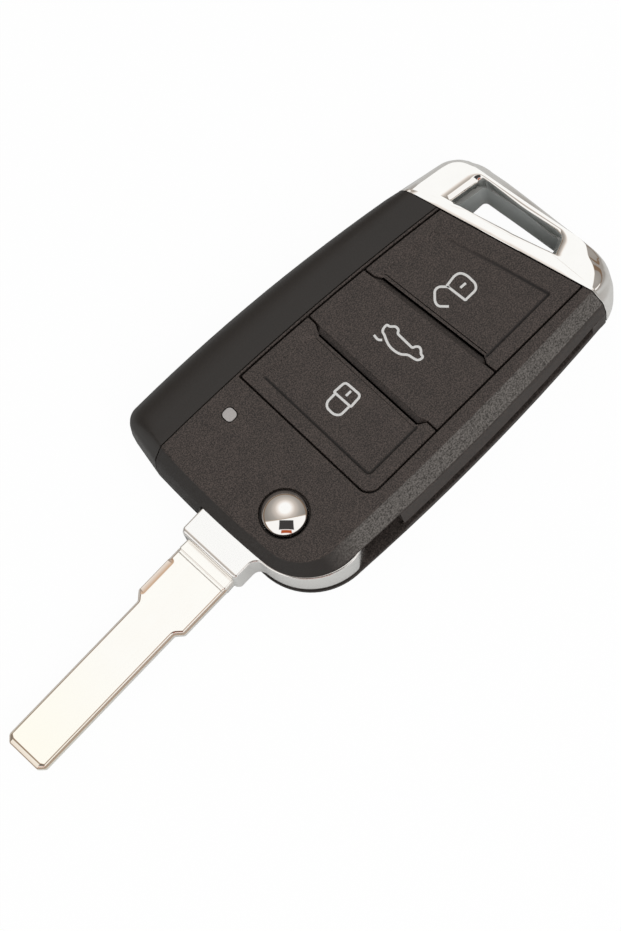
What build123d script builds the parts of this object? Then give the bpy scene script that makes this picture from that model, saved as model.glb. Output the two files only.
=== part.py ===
from build123d import *

import os
from collections import namedtuple
from math import acos, cos, radians, sin, tan

# Flip key remote shell, lying on its back with the blade swung out.
# Millimetres. The origin is on the blade's pivot axis, at the back resting face.
# +X runs from the blade end to the key-ring end, +Y to the smooth side strip, +Z to the buttons.

# Case outline
case_length = 78.85
case_width = 46.8
case_height = 13.3
end_reach = 8.6
right_reach = 13.6
corner_radius = 11.8
right_bow = 0.75
end_bow = 0.45
bottom_bevel = 0.9
parting_height = 5.8
chamfer_height = 3.7
end_slope = 2.3
right_slope = 3.3
belt_lean = 0.2
crown_width = 6.5
crown_drop = 5.0
left_start_inset = 4.2
left_break_inset = 18.0
wall = 1.3
roof = 1.5
joint_gap = 0.05

# Seam between the textured shell and the smooth side strip, as a shallow curve along X
strip_width = 9.5
seam_slope = 0.012
seam_bow = 0.00102

# Slanted joint between the black case and the chrome cap
cap_length = 8.85
cap_joint_slant = 13.4

# Back of the case
floor_top = 1.9
lip_top = 2.5
cover_plate = 1.2
cover_edge_y = 2.5
cover_gap = 0.1
channel_wall_y = 1.0
channel_wall_width = 1.2
slot_clearance = 1.6
slot_end_wall = 1.0
post_radius = 1.5
far_post_inset = 7.5

# Blade head, which turns about the pivot axis
head_bottom = 2.2
head_depth = 3.9
head_clearance = 0.2
hub_radius = 7.9
lobe_inset = 0.15
lobe_reach = 13.75
lobe_end_x = 6.0
neck_end_x = -13.7
neck_width = 12.9
neck_centre_y = 5.75
neck_inner_x = -3.0
neck_blend = 1.7
neck_edge = 0.6
spigot_radius = 6.0
spigot_height = 0.9
spigot_clearance = 0.06
open_play_deg = 1.4

# Uncut blade
blade_thickness = 2.6
blade_bottom = 2.9
blade_width = 8.85
blade_root_width = 11.3
blade_root_length = 12.1
blade_tip_inset = 10.95
blade_collar_length = 2.1
blade_collar_rise = 0.2
blade_bevel = 0.45
tip_bevel = 1.1
tang_width = 8.4
tang_length = 4.0
tang_clearance = 0.03
roll_pin_radius = 0.8
roll_pin_bore = 0.45
roll_pin_inset = 1.2
roll_pin_slit = 0.3
roll_pin_clearance = 0.01

# Release button and its spring
release_radius = 3.95
release_clearance = 0.08
release_rise = 0.35
dome_height = 1.85
release_bore = 3.0
release_crown = 1.2
release_flange_radius = 4.6
release_flange_height = 0.9
release_flange_depth = 1.5
flange_clearance = 0.1
dark_ring_radius = 4.45
dark_ring_depth = 0.9
release_boss_radius = 8.2
spring_radius = 2.4
spring_wire = 0.55
spring_turns = 7
spring_end_gap = 0.1

# Three push buttons on one rubber mat
button_field_inset = 5.15
button_field_low_x = 11.8
rail_width = 0.6
button_gap = 0.17
button_corner = 2.4
button_thickness = 2.3
lock_share = 0.3165
lock_trunk_step = 0.55
lock_and_trunk_share = 0.6018
trunk_unlock_slant = 0.075
step_inset = 3.45
panel_depth = 0.22
panel_margin = 1.9
panel_near_margin = 0.95
mat_gap = 0.05
mat_thickness = 0.6
pip_radius = 1.8
pip_height = 0.65

# Electronics
board_gap = 0.85
board_thickness = 0.8
board_right_reach = 1.75
board_end_gap = 2.6
board_start_gap = 1.35
board_arm_x = 1.2
board_arm_gap = 1.45
sweep_clearance = 0.4
head_sweep_gap = 0.7
clamp_rib_width = 1.0
switch_size = 4.2
switch_body_share = 0.64
switch_cap_radius = 1.0
switch_gap = 0.05
led_x = 5.8
led_inset = 4.4
led_window_size = 2.5
led_window_corner = 0.9
led_window_shank = 1.9
led_length = 1.6
led_width = 0.8
led_height = 0.7
led_gap = 0.15
cell_radius = 10.0
cell_height = 3.2
cell_inset = 24.4
cell_wall_gap = 2.4
cell_rim = 0.8
cell_step = 0.3
cell_gap = 0.3
contact_thickness = 0.2
contact_width = 5.0
contact_gap = 0.05
negative_reach = 12.0
transponder_length = 12.0
transponder_width = 6.0
transponder_height = 3.0
transponder_x = 14.0
transponder_inset = 5.8
antenna_size = 8.0
antenna_headroom = 0.8
antenna_inset = 8.4
controller_length = 6.4
controller_width = 5.0
controller_height = 1.0
controller_inset = 7.1
crystal_length = 3.2
crystal_width = 1.8
crystal_height = 0.8
crystal_inset = 4.95

# Case screw, under the back cover
screw_x = -2.0
screw_gap = 2.85
screw_boss_radius = 2.2
screw_boss_bottom = 3.4
screw_radius = 0.8
screw_length = 7.0
screw_head_radius = 1.6
screw_head_height = 0.9
screw_hole_gap = 0.1
screw_pad_radius = 2.7

# Key-ring loop in the chrome cap. A corner of the hole is held back from the far end and from its side.
ring_hole_near_left = (11.35, 15.1)
ring_hole_far_left = (4.85, 15.6)
ring_hole_far_right = (3.1, 14.35)
ring_hole_near_right = (5.6, 12.35)
ring_hole_corner = 1.2
ring_plane_drop = 1.1
ring_back_rise = 1.6
ring_ridge_inset = 8.65
tongue_length = 4.2
tongue_side_gap = 1.95

far_x = case_length - end_reach
left_y = case_width - right_reach
end_x = -end_reach
right_y = -right_reach
belt_height = case_height - chamfer_height
seam_start_y = left_y - strip_width
cap_joint_x = far_x - cap_length
ring_ridge_x = far_x - ring_ridge_inset
head_top = case_height - head_depth
head_sweep = lobe_reach + sweep_clearance
release_flange_top = head_top - release_flange_depth
roll_pin_length = head_top - head_bottom - roll_pin_inset
blade_tip_x = blade_tip_inset - far_x
blade_y = neck_centre_y
slot_far_x = -blade_tip_x + slot_clearance
window_x = -neck_end_x + head_clearance
board_bottom = blade_bottom + blade_thickness + board_gap
board_top = board_bottom + board_thickness
mat_top = case_height - button_thickness - mat_gap
mat_bottom = mat_top - mat_thickness
switch_height = mat_bottom - board_top - pip_height - switch_gap
switch_body = switch_height * switch_body_share
antenna_height = mat_bottom - board_top - antenna_headroom
cell_bottom = cover_plate + cover_gap
cell_top = cell_bottom + cell_height


def seam_y(x):
    # height of the seam curve at a place along the case
    return seam_start_y - seam_slope * x - seam_bow * x * x


def cap_joint_at(y):
    # place along the case where the chrome joint crosses a given y
    return cap_joint_x - y * tan(radians(cap_joint_slant))


# Places inside the case, each held from the wall, joint, blade head or key that it belongs to
button_field_right_y = right_y + button_field_inset
button_field_length = cap_joint_x - button_field_low_x
lock_trunk_x = button_field_low_x + lock_share * button_field_length
trunk_unlock_x = button_field_low_x + lock_and_trunk_share * button_field_length
step_y = button_field_right_y + step_inset
lock_switch_x = (button_field_low_x + lock_trunk_x) / 2
trunk_switch_x = (lock_trunk_x + trunk_unlock_x) / 2
switch_y = (button_field_right_y + seam_y(trunk_switch_x) - rail_width) / 2
unlock_switch_x = (trunk_unlock_x + cap_joint_at(switch_y)) / 2
board_right_y = button_field_right_y - board_right_reach
board_start_x = head_sweep + board_start_gap
board_arm_y = head_sweep + board_arm_gap
led_y = seam_y(led_x) - led_inset
cell_x = cap_joint_x - cell_inset
cell_y = channel_wall_y + channel_wall_width + cell_radius + cell_wall_gap
transponder_y = left_y - transponder_inset
antenna_x = lock_trunk_x
antenna_y = seam_y(antenna_x) - antenna_inset
controller_x = trunk_unlock_x
controller_y = seam_y(controller_x) - controller_inset
crystal_x = trunk_unlock_x
crystal_y = button_field_right_y + crystal_inset
screw_y = head_sweep + screw_boss_radius + screw_gap
tongue_start_y = channel_wall_y + channel_wall_width + tongue_side_gap
tongue_finish_y = seam_y(cap_joint_x) - tongue_side_gap
tongue_y = (tongue_start_y + tongue_finish_y) / 2
tongue_width = tongue_finish_y - tongue_start_y


# A point of the case outline: its place at the waist, how far it leans in at the face,
# its share of the rounded crown, and the way outwards there.
OutlinePoint = namedtuple("OutlinePoint", "x y lean_x lean_y crown out_x out_y")
diagonal = sin(radians(45))
bend = corner_radius * (1 - diagonal)
end_right = OutlinePoint(end_x, right_y + corner_radius, end_slope, 0, 0, -1, 0)
corner_lean = (end_slope * 0.6, right_slope * 0.6)
corner_mid = OutlinePoint(end_x + bend, right_y + bend, *corner_lean, 0, -diagonal, -diagonal)
right_start = OutlinePoint(end_x + corner_radius, right_y, -1.0, right_slope, 0, 0, -1)
right_mid = OutlinePoint(case_length * 0.42, right_y - right_bow, 0, right_slope + 0.2, 0, 0, -1)
right_end = OutlinePoint(far_x - 7.5, right_y + 0.6, 0.3, right_slope - 0.5, 0, 0, -1)
far_right_mid = OutlinePoint(far_x - 1.7, right_y + 2.9, -0.9, 2.1, 0, diagonal, -diagonal)
far_right = OutlinePoint(far_x, right_y + 9.6, -0.7, -0.5, 0, 1, 0)
far_left = OutlinePoint(far_x - 1.2, left_y - 13.9, -0.8, -1.3, 0, 1, 0)
far_left_mid = OutlinePoint(far_x - 2.9, left_y - 9.7, -0.6, -1.0, 0.1, diagonal, diagonal)
left_end = OutlinePoint(far_x - 6.3, left_y - 7.5, -0.2, 0, 0.3, 0.2, 0.98)
left_break = OutlinePoint(far_x - left_break_inset, left_y - 4.8, 0, 0, 0.6, 0.15, 0.98)
left_mid = OutlinePoint(case_length * 0.304, left_y - 1.1, 0, 0, 0.95, 0, 1)
left_start = OutlinePoint(end_x + left_start_inset, left_y, 1.0, 0, 1, -0.25, 0.97)
end_left_mid = OutlinePoint(end_x + 2.5, left_y - 0.5, 1.3, 0, 0.97, -0.6, 0.8)
end_left = OutlinePoint(end_x + 1.1, left_y - 2.2, 1.8, 0, 0.85, -1, 0.2)
end_bend = OutlinePoint(end_x - 0.2, left_y - 9.2, 2.4, 0, 0.3, -1, 0)
end_mid = OutlinePoint(end_x - end_bow, left_y / 3, 2.3, 0, 0, -1, 0)


def case_section(height, shape_height, inset):
    # one level of the case: the outline that it has at shape_height, moved inwards by inset
    if shape_height <= parting_height:
        lean = 0.0
    elif shape_height <= belt_height:
        lean = belt_lean * (shape_height - parting_height) / (belt_height - parting_height)
    else:
        lean = belt_lean + (1 - belt_lean) * (shape_height - belt_height) / (case_height - belt_height)
    depth = min(1.0, (case_height - shape_height) / crown_drop)
    crown_inset = crown_width * (1 - sin(acos(1 - depth)))

    def place(point):
        x = point.x + lean * point.lean_x - inset * point.out_x
        y = point.y + lean * point.lean_y - crown_inset * point.crown - inset * point.out_y
        return (x, y)

    with BuildSketch(Plane.XY.offset(height)) as section:
        with BuildLine():
            ThreePointArc(place(end_right), place(corner_mid), place(right_start))
            ThreePointArc(place(right_start), place(right_mid), place(right_end))
            ThreePointArc(place(right_end), place(far_right_mid), place(far_right))
            Line(place(far_right), place(far_left))
            ThreePointArc(place(far_left), place(far_left_mid), place(left_end))
            Line(place(left_end), place(left_break))
            ThreePointArc(place(left_break), place(left_mid), place(left_start))
            ThreePointArc(place(left_start), place(end_left_mid), place(end_left))
            Line(place(end_left), place(end_bend))
            ThreePointArc(place(end_bend), place(end_mid), place(end_right))
        make_face()
    return section.sketch


def case_block(low, high, inset=0.0, shift=0.0):
    # solid of the case outline between two heights; shift lowers the outline, for a hollow
    turns = (0, 18, 34, 50, 68, 90)
    crown_levels = [case_height - crown_drop * (1 - cos(radians(turn))) for turn in turns]
    shape_levels = sorted(crown_levels + [parting_height, belt_height])
    inner_levels = [level - shift for level in shape_levels if low < level - shift < high]
    with BuildPart() as block:
        levels = [low, *inner_levels, high]
        loft([case_section(level, level + shift, inset) for level in levels], ruled=True)
    return block.part


def beyond_cap_joint(gap):
    # everything past the slanted joint, on the key-ring side
    slant = radians(cap_joint_slant)
    joint = Plane((cap_joint_x, 0, 0), x_dir=(0, 0, 1), z_dir=(cos(slant), sin(slant), 0))
    with BuildPart() as block:
        with BuildSketch(joint.offset(gap)):
            Rectangle(6 * case_height, 4 * case_width)
        extrude(amount=case_length)
    return block.part


def beyond_seam(offset_y, low, high):
    # everything on the smooth side of the seam, moved by offset_y
    start = end_x - 10
    finish = far_x + 10
    middle = (start + finish) / 2
    top = left_y + 10
    with BuildPart() as block:
        with BuildSketch(Plane.XY.offset(low)):
            with BuildLine():
                ThreePointArc(
                    (start, seam_y(start) + offset_y),
                    (middle, seam_y(middle) + offset_y),
                    (finish, seam_y(finish) + offset_y),
                )
                Polyline(
                    (finish, seam_y(finish) + offset_y),
                    (finish, top),
                    (start, top),
                    (start, seam_y(start) + offset_y),
                )
            make_face()
        extrude(amount=high - low)
    return block.part


def slab(x_range, y_range, z_range):
    # plain block between pairs of limits
    size = [limits[1] - limits[0] for limits in (x_range, y_range, z_range)]
    with BuildPart() as block:
        with BuildSketch(Plane((x_range[0], y_range[0], z_range[0]))):
            Rectangle(size[0], size[1], align=(Align.MIN, Align.MIN))
        extrude(amount=size[2])
    return block.part


def save(piece, name):
    piece.part.label = name
    export_step(piece.part, f"parts/{name}.step")


os.makedirs("parts", exist_ok=True)
outside = 100.0
cap_side = beyond_cap_joint(-joint_gap)
smooth_side = beyond_seam(-joint_gap, -1, case_height + 1)
neck_left_y = neck_centre_y + neck_width / 2 + head_clearance
head_window_front = slab((-outside, window_x), (-outside, neck_left_y), (-1, head_top + head_clearance))
head_window_back = slab((-outside, window_x), (-outside, neck_left_y), (floor_top, parting_height + 1))
blade_slot = slab((window_x - 1, slot_far_x), (-outside, channel_wall_y), (lip_top, parting_height + 1))
cover_room = slab((-outside, outside), (cover_edge_y, outside), (-1, cover_plate + cover_gap))

# Button field and its parts, as plane outlines
field_high_x = far_x + corner_radius


def field_outline(grow):
    # outline of the button field, grown by a gap on every side but the cap's
    low = button_field_low_x - grow
    right = button_field_right_y - grow
    left_offset = -joint_gap - rail_width + grow
    finish = field_high_x
    middle = (low + finish) / 2
    with BuildSketch() as field:
        with BuildLine():
            ThreePointArc(
                (low, seam_y(low) + left_offset),
                (middle, seam_y(middle) + left_offset),
                (finish, seam_y(finish) + left_offset),
            )
            Polyline(
                (finish, seam_y(finish) + left_offset),
                (finish, right),
                (low, right),
                (low, seam_y(low) + left_offset),
            )
        make_face()
        low_right = field.vertices().sort_by_distance((low, right))[0]
        fillet(low_right, button_corner + grow)
    return field.sketch


def trunk_unlock_at(y):
    return trunk_unlock_x - trunk_unlock_slant * y


lock_trunk_line = [
    (lock_trunk_x, left_y),
    (lock_trunk_x, step_y),
    (lock_trunk_x + lock_trunk_step, step_y - 2 * lock_trunk_step),
    (lock_trunk_x + lock_trunk_step, right_y),
]
trunk_unlock_line = [(trunk_unlock_at(left_y), left_y), (trunk_unlock_at(right_y), right_y)]
low_line = [(button_field_low_x - 10, left_y), (button_field_low_x - 10, right_y)]
cap_line = [(cap_joint_at(left_y), left_y), (cap_joint_at(right_y), right_y)]


def button_outline(low_edge, high_edge, low_gap, high_gap, side_gap):
    # share of the button field between two cross lines, held back by its gaps
    low_points = [(x + low_gap, y) for x, y in low_edge]
    high_points = [(x - high_gap, y) for x, y in high_edge]
    with BuildSketch() as outline:
        add(field_outline(-side_gap))
        with BuildSketch(mode=Mode.INTERSECT):
            with BuildLine():
                Polyline(*low_points, *reversed(high_points), close=True)
            make_face()
    return outline.sketch


# Front shell: textured face, chamfered sides, ribs that clamp the board, boss round the pivot
front_outer = case_block(parting_height, case_height)
front_hollow = case_block(parting_height - 1, case_height - roof, inset=wall, shift=roof)
rib_bottom = board_top + joint_gap
rib_top = mat_bottom - joint_gap
rib_strip = beyond_seam(-joint_gap - clamp_rib_width - rail_width, rib_bottom, rib_top)
rail_strip = beyond_seam(-joint_gap - rail_width + button_gap, rib_bottom, case_height - roof)
opening_face = field_outline(button_gap)
with BuildPart() as left_rib:
    add(rib_strip)
    add(rail_strip)
    add(smooth_side, mode=Mode.SUBTRACT)
    add(front_hollow, mode=Mode.INTERSECT)
shelf_start_x = board_start_x + clamp_rib_width
shelf_edge_y = board_right_y + clamp_rib_width
shelf_block = slab((shelf_start_x, outside), (-outside, shelf_edge_y), (rib_bottom, case_height - roof))
with BuildPart() as boss_and_shelf:
    with BuildSketch(Plane.XY.offset(head_top + head_clearance)):
        Circle(release_boss_radius)
    extrude(amount=case_height - roof - head_top - head_clearance)
    add(shelf_block)
    add(front_outer, mode=Mode.INTERSECT)

with BuildPart() as front_shell:
    add(front_outer)
    add(front_hollow, mode=Mode.SUBTRACT)
    add(left_rib.part)
    add(boss_and_shelf.part)
    with BuildSketch(Plane.XY.offset(screw_boss_bottom)):
        with Locations((screw_x, screw_y)):
            Circle(screw_boss_radius)
    extrude(amount=case_height - roof - screw_boss_bottom)
    with BuildSketch(Plane.XY.offset(head_top)):
        Circle(spigot_radius + spigot_clearance)
    extrude(amount=head_clearance + spigot_height, mode=Mode.SUBTRACT)
    with BuildSketch(Plane.XY):
        Circle(release_radius + release_clearance)
    extrude(amount=2 * case_height, mode=Mode.SUBTRACT)
    with BuildSketch(Plane.XY.offset(case_height - dark_ring_depth)):
        Circle(dark_ring_radius)
    extrude(amount=case_height, mode=Mode.SUBTRACT)
    with BuildSketch(Plane.XY.offset(screw_boss_bottom - 1)):
        with Locations((screw_x, screw_y)):
            Circle(screw_radius)
    extrude(amount=screw_length, mode=Mode.SUBTRACT)
    with BuildSketch(Plane.XY.offset(board_top)):
        with Locations((led_x, led_y)):
            RectangleRounded(led_window_size, led_window_size, led_window_corner)
    extrude(amount=case_height, mode=Mode.SUBTRACT)
    with BuildSketch(Plane.XY.offset(case_height - roof - 1)):
        add(opening_face)
    extrude(amount=case_height, mode=Mode.SUBTRACT)
    add(head_window_front, mode=Mode.SUBTRACT)
    add(smooth_side, mode=Mode.SUBTRACT)
    add(cap_side, mode=Mode.SUBTRACT)
save(front_shell, "front_shell")

# Back shell: floor under the blade, slot lip, blade channel, cell opening, board posts
back_outer = case_block(bottom_bevel, parting_height)
back_hollow = case_block(floor_top, parting_height + 1, inset=wall)
tray_floor = case_block(cover_plate + cover_gap, floor_top, inset=wall + cover_gap)
with BuildPart() as back_bevel:
    loft([case_section(0, 0, bottom_bevel), case_section(bottom_bevel, 0, 0)], ruled=True)
far_post_x = cap_joint_at(tongue_y) - far_post_inset
post_places = [(led_x, led_y + post_radius), (far_post_x, tongue_finish_y)]
channel_start_x = board_start_x + clamp_rib_width
with BuildPart() as back_shell:
    add(back_outer)
    add(back_bevel.part)
    add(back_hollow, mode=Mode.SUBTRACT)
    add(smooth_side, mode=Mode.SUBTRACT)
    add(tray_floor)
    add(cover_room, mode=Mode.SUBTRACT)
    with BuildSketch(Plane.XY.offset(floor_top)):
        with Locations((channel_start_x, channel_wall_y)):
            Rectangle(slot_far_x - channel_start_x, channel_wall_width, align=(Align.MIN, Align.MIN))
        with Locations((slot_far_x, channel_wall_y + channel_wall_width)):
            Rectangle(slot_end_wall, right_reach, align=(Align.MIN, Align.MAX))
        with Locations(*post_places):
            Circle(post_radius)
    extrude(amount=board_bottom - floor_top)
    with BuildSketch(Plane.XY.offset(cover_plate + cover_gap)):
        with Locations((screw_x, screw_y)):
            Circle(screw_pad_radius)
    extrude(amount=screw_boss_bottom - joint_gap - cover_plate - cover_gap)
    with BuildSketch(Plane.XY):
        with Locations((screw_x, screw_y)):
            Circle(screw_radius + screw_hole_gap)
    extrude(amount=parting_height, mode=Mode.SUBTRACT)
    with BuildSketch(Plane.XY):
        with Locations((screw_x, screw_y)):
            Circle(screw_head_radius + screw_hole_gap)
    extrude(amount=cover_plate + cover_gap + screw_head_height, mode=Mode.SUBTRACT)
    with BuildSketch(Plane.XY):
        with Locations((cell_x, cell_y)):
            Circle(cell_radius + cell_gap)
    extrude(amount=parting_height, mode=Mode.SUBTRACT)
    with BuildSketch(Plane.XY.offset(head_bottom - spigot_height - joint_gap)):
        Circle(spigot_radius + spigot_clearance)
    extrude(amount=parting_height, mode=Mode.SUBTRACT)
    add(head_window_back, mode=Mode.SUBTRACT)
    add(blade_slot, mode=Mode.SUBTRACT)
    add(cap_side, mode=Mode.SUBTRACT)
save(back_shell, "back_shell")

# Back cover: smooth plate over the cell that wraps round as the side strip
full_outer = case_block(bottom_bevel, case_height)
cover_hollow = case_block(cover_plate, case_height - roof, inset=wall, shift=roof)
cover_keep_side = beyond_seam(joint_gap, -1, case_height + 1)
cover_keep_plate = slab((-outside, outside), (cover_edge_y + cover_gap, outside), (-1, cover_plate))
with BuildPart() as cover_keep:
    add(cover_keep_side)
    add(cover_keep_plate)
with BuildPart() as back_cover:
    add(full_outer)
    add(back_bevel.part)
    add(cover_hollow, mode=Mode.SUBTRACT)
    add(cover_keep.part, mode=Mode.INTERSECT)
    add(cap_side, mode=Mode.SUBTRACT)
save(back_cover, "back_cover")

# Chrome cap: solid key-ring end with a wedge-shaped hole and a tongue into the case
cap_body_side = beyond_cap_joint(joint_gap)
ring_hole_points = [
    (far_x - ring_hole_near_left[0], left_y - ring_hole_near_left[1]),
    (far_x - ring_hole_near_right[0], right_y + ring_hole_near_right[1]),
    (far_x - ring_hole_far_right[0], right_y + ring_hole_far_right[1]),
    (far_x - ring_hole_far_left[0], left_y - ring_hole_far_left[1]),
]
ring_slope = ring_plane_drop / (far_x - ring_ridge_x)
with BuildPart() as ring_plane_cut:
    with BuildSketch(Plane.XZ.offset(-outside / 2)):
        with BuildLine():
            Polyline(
                (ring_ridge_x, case_height),
                (far_x + 10, case_height - ring_slope * (far_x + 10 - ring_ridge_x)),
                (far_x + 10, case_height + 10),
                (ring_ridge_x, case_height + 10),
                close=True,
            )
        make_face()
    extrude(amount=outside)
ring_back_slope = ring_back_rise / (far_x - ring_ridge_x)
with BuildPart() as ring_back_cut:
    with BuildSketch(Plane.XZ.offset(-outside / 2)):
        with BuildLine():
            Polyline(
                (ring_ridge_x, 0),
                (far_x + 10, ring_back_slope * (far_x + 10 - ring_ridge_x)),
                (far_x + 10, -10),
                (ring_ridge_x, -10),
                close=True,
            )
        make_face()
    extrude(amount=outside)
with BuildPart() as chrome_cap:
    add(full_outer)
    add(back_bevel.part)
    add(cap_body_side, mode=Mode.INTERSECT)
    add(ring_plane_cut.part, mode=Mode.SUBTRACT)
    add(ring_back_cut.part, mode=Mode.SUBTRACT)
    with BuildSketch(Plane.XY.offset(floor_top + cover_gap)):
        with Locations((cap_joint_at(tongue_y), tongue_y)):
            Rectangle(2 * tongue_length, tongue_width)
    extrude(amount=board_bottom - 2 * cover_gap - floor_top)
    with BuildSketch(Plane.XY.offset(-1)) as ring_hole:
        with BuildLine():
            Polyline(*ring_hole_points, close=True)
        make_face()
        fillet(ring_hole.vertices(), ring_hole_corner)
    extrude(amount=2 * case_height, mode=Mode.SUBTRACT)
save(chrome_cap, "chrome_cap")

# Push buttons: hard keys in the field, the outer two with a sunk panel
lock_outline = button_outline(low_line, lock_trunk_line, 0, button_gap, button_gap)
trunk_outline = button_outline(lock_trunk_line, trunk_unlock_line, button_gap, button_gap, button_gap)
unlock_outline = button_outline(trunk_unlock_line, cap_line, button_gap, button_gap, button_gap)
lock_panel = button_outline(low_line, lock_trunk_line, 0, panel_near_margin, panel_margin)
unlock_panel = button_outline(trunk_unlock_line, cap_line, panel_near_margin, panel_margin, panel_margin)
button_bottom = case_height - button_thickness


def push_button(outline, panel, name):
    with BuildPart() as button:
        with BuildSketch(Plane.XY.offset(button_bottom)):
            add(outline)
        extrude(amount=button_thickness)
        if panel is not None:
            with BuildSketch(Plane.XY.offset(case_height - panel_depth)):
                add(panel)
            extrude(amount=panel_depth, taper=-45, mode=Mode.SUBTRACT)
    save(button, name)


push_button(lock_outline, lock_panel, "lock_button")
push_button(trunk_outline, None, "trunk_button")
push_button(unlock_outline, unlock_panel, "unlock_button")

# Rubber mat under the buttons, with a pip over each switch
switch_places = [(lock_switch_x, switch_y), (trunk_switch_x, switch_y), (unlock_switch_x, switch_y)]
switch_top = board_top + switch_height
mat_outline = button_outline(low_line, cap_line, 0, clamp_rib_width, clamp_rib_width + 2 * joint_gap)
with BuildPart() as button_mat:
    with BuildSketch(Plane.XY.offset(mat_bottom)):
        add(mat_outline)
    extrude(amount=mat_thickness)
    with BuildSketch(Plane.XY.offset(switch_top + switch_gap)):
        with Locations(*switch_places):
            Circle(pip_radius)
    extrude(amount=pip_height)
save(button_mat, "button_mat")

# Light pipe in the face, over the status light
led_head_size = led_window_size - 2 * joint_gap
with BuildPart() as led_window:
    with BuildSketch(Plane.XY.offset(case_height - roof)):
        with Locations((led_x, led_y)):
            RectangleRounded(led_head_size, led_head_size, led_window_corner - joint_gap)
    extrude(amount=roof)
    with BuildSketch(Plane.XY.offset(board_top + led_height + led_gap)):
        with Locations((led_x, led_y)):
            RectangleRounded(led_window_shank, led_window_shank, led_window_corner / 2)
    extrude(amount=case_height - roof - board_top - led_height - led_gap)
save(led_window, "led_window")

# Release button: chrome dome on a hollow stem with a retaining flange
release_bottom = release_flange_top - release_flange_height
dome_base = case_height + release_rise
dome_sphere = (release_radius**2 + dome_height**2) / (2 * dome_height)
with BuildPart() as release_button:
    with BuildSketch(Plane.XZ):
        with BuildLine():
            Line((0, release_bottom), (release_flange_radius, release_bottom))
            Line((release_flange_radius, release_bottom), (release_flange_radius, release_flange_top))
            Line((release_flange_radius, release_flange_top), (release_radius, release_flange_top))
            Line((release_radius, release_flange_top), (release_radius, dome_base))
            RadiusArc((release_radius, dome_base), (0, dome_base + dome_height), -dome_sphere)
            Line((0, dome_base + dome_height), (0, release_bottom))
        make_face()
    revolve(axis=Axis.Z)
    with BuildSketch(Plane.XY.offset(release_bottom)):
        Circle(release_bore)
    extrude(amount=case_height - release_crown - release_bottom, mode=Mode.SUBTRACT)
save(release_button, "release_button")

# One coil spring round the pivot lifts the release button and throws the blade out
spring_foot = head_bottom - spigot_height - joint_gap + spring_end_gap + spring_wire / 2
spring_rise = case_height - release_crown - spring_end_gap - spring_wire / 2 - spring_foot
with BuildPart() as flip_spring:
    with BuildLine():
        Helix(spring_rise / spring_turns, spring_rise, spring_radius, center=(0, 0, spring_foot))
    with BuildSketch(Plane((spring_radius, 0, spring_foot), x_dir=(1, 0, 0), z_dir=(0, 1, 0))):
        Circle(spring_wire / 2)
    sweep()
save(flip_spring, "flip_spring")

# Blade head: hub, neck and the lobe that fills the case corner, in its own square frame
lobe_radius = corner_radius - lobe_inset
lobe_centre = (end_x + corner_radius, right_y + corner_radius)
neck_right_y = neck_centre_y - neck_width / 2
neck_size_x = neck_inner_x - neck_end_x
with BuildSketch() as lobe_plan:
    with Locations(lobe_centre):
        Circle(lobe_radius)
    with Locations((lobe_end_x, neck_right_y)):
        Rectangle(outside, outside, align=(Align.MAX, Align.MAX), mode=Mode.INTERSECT)
    Circle(lobe_reach, mode=Mode.INTERSECT)
with BuildSketch() as head_plan:
    Circle(hub_radius)
    add(lobe_plan.sketch)
    with Locations((neck_end_x, neck_right_y)):
        Rectangle(neck_size_x, neck_width, align=(Align.MIN, Align.MIN))
    inner_corner = head_plan.vertices().sort_by_distance((end_x + lobe_inset, neck_right_y))[0]
    fillet(inner_corner, neck_blend)
tang_half = tang_width / 2 + tang_clearance
open_turn = Rotation(0, 0, open_play_deg)


def opened(square_piece):
    # a piece of the blade turned from its square place to the open one
    turned = open_turn * square_piece.part
    with BuildPart() as piece:
        add(turned)
    return piece


pin_place = (neck_end_x + tang_length / 2, blade_y)
with BuildPart() as square_head:
    with BuildSketch(Plane.XY.offset(head_bottom)):
        add(head_plan.sketch)
    extrude(amount=head_top - head_bottom)
    neck_rim = square_head.edges().filter_by(GeomType.LINE).group_by(Axis.X)[0]
    chamfer(neck_rim, neck_edge)
    with BuildSketch(Plane.XY.offset(head_bottom - spigot_height)):
        Circle(spigot_radius)
    extrude(amount=head_top - head_bottom + 2 * spigot_height)
    with BuildSketch(Plane.XY):
        Circle(release_radius + release_clearance)
    extrude(amount=case_height, mode=Mode.SUBTRACT)
    with BuildSketch(Plane.XY):
        Circle(release_flange_radius + flange_clearance)
    extrude(amount=release_flange_top + joint_gap, mode=Mode.SUBTRACT)
    with BuildSketch(Plane.XY.offset(blade_bottom - tang_clearance)):
        with Locations((neck_end_x, blade_y)):
            Rectangle(2 * (tang_length + tang_clearance), 2 * tang_half)
    extrude(amount=blade_thickness + 2 * tang_clearance, mode=Mode.SUBTRACT)
    with BuildSketch(Plane.XY.offset(head_bottom)):
        with Locations(pin_place):
            Circle(roll_pin_radius + roll_pin_clearance)
    extrude(amount=roll_pin_length, mode=Mode.SUBTRACT)
blade_head = opened(square_head)
save(blade_head, "blade_head")

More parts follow.
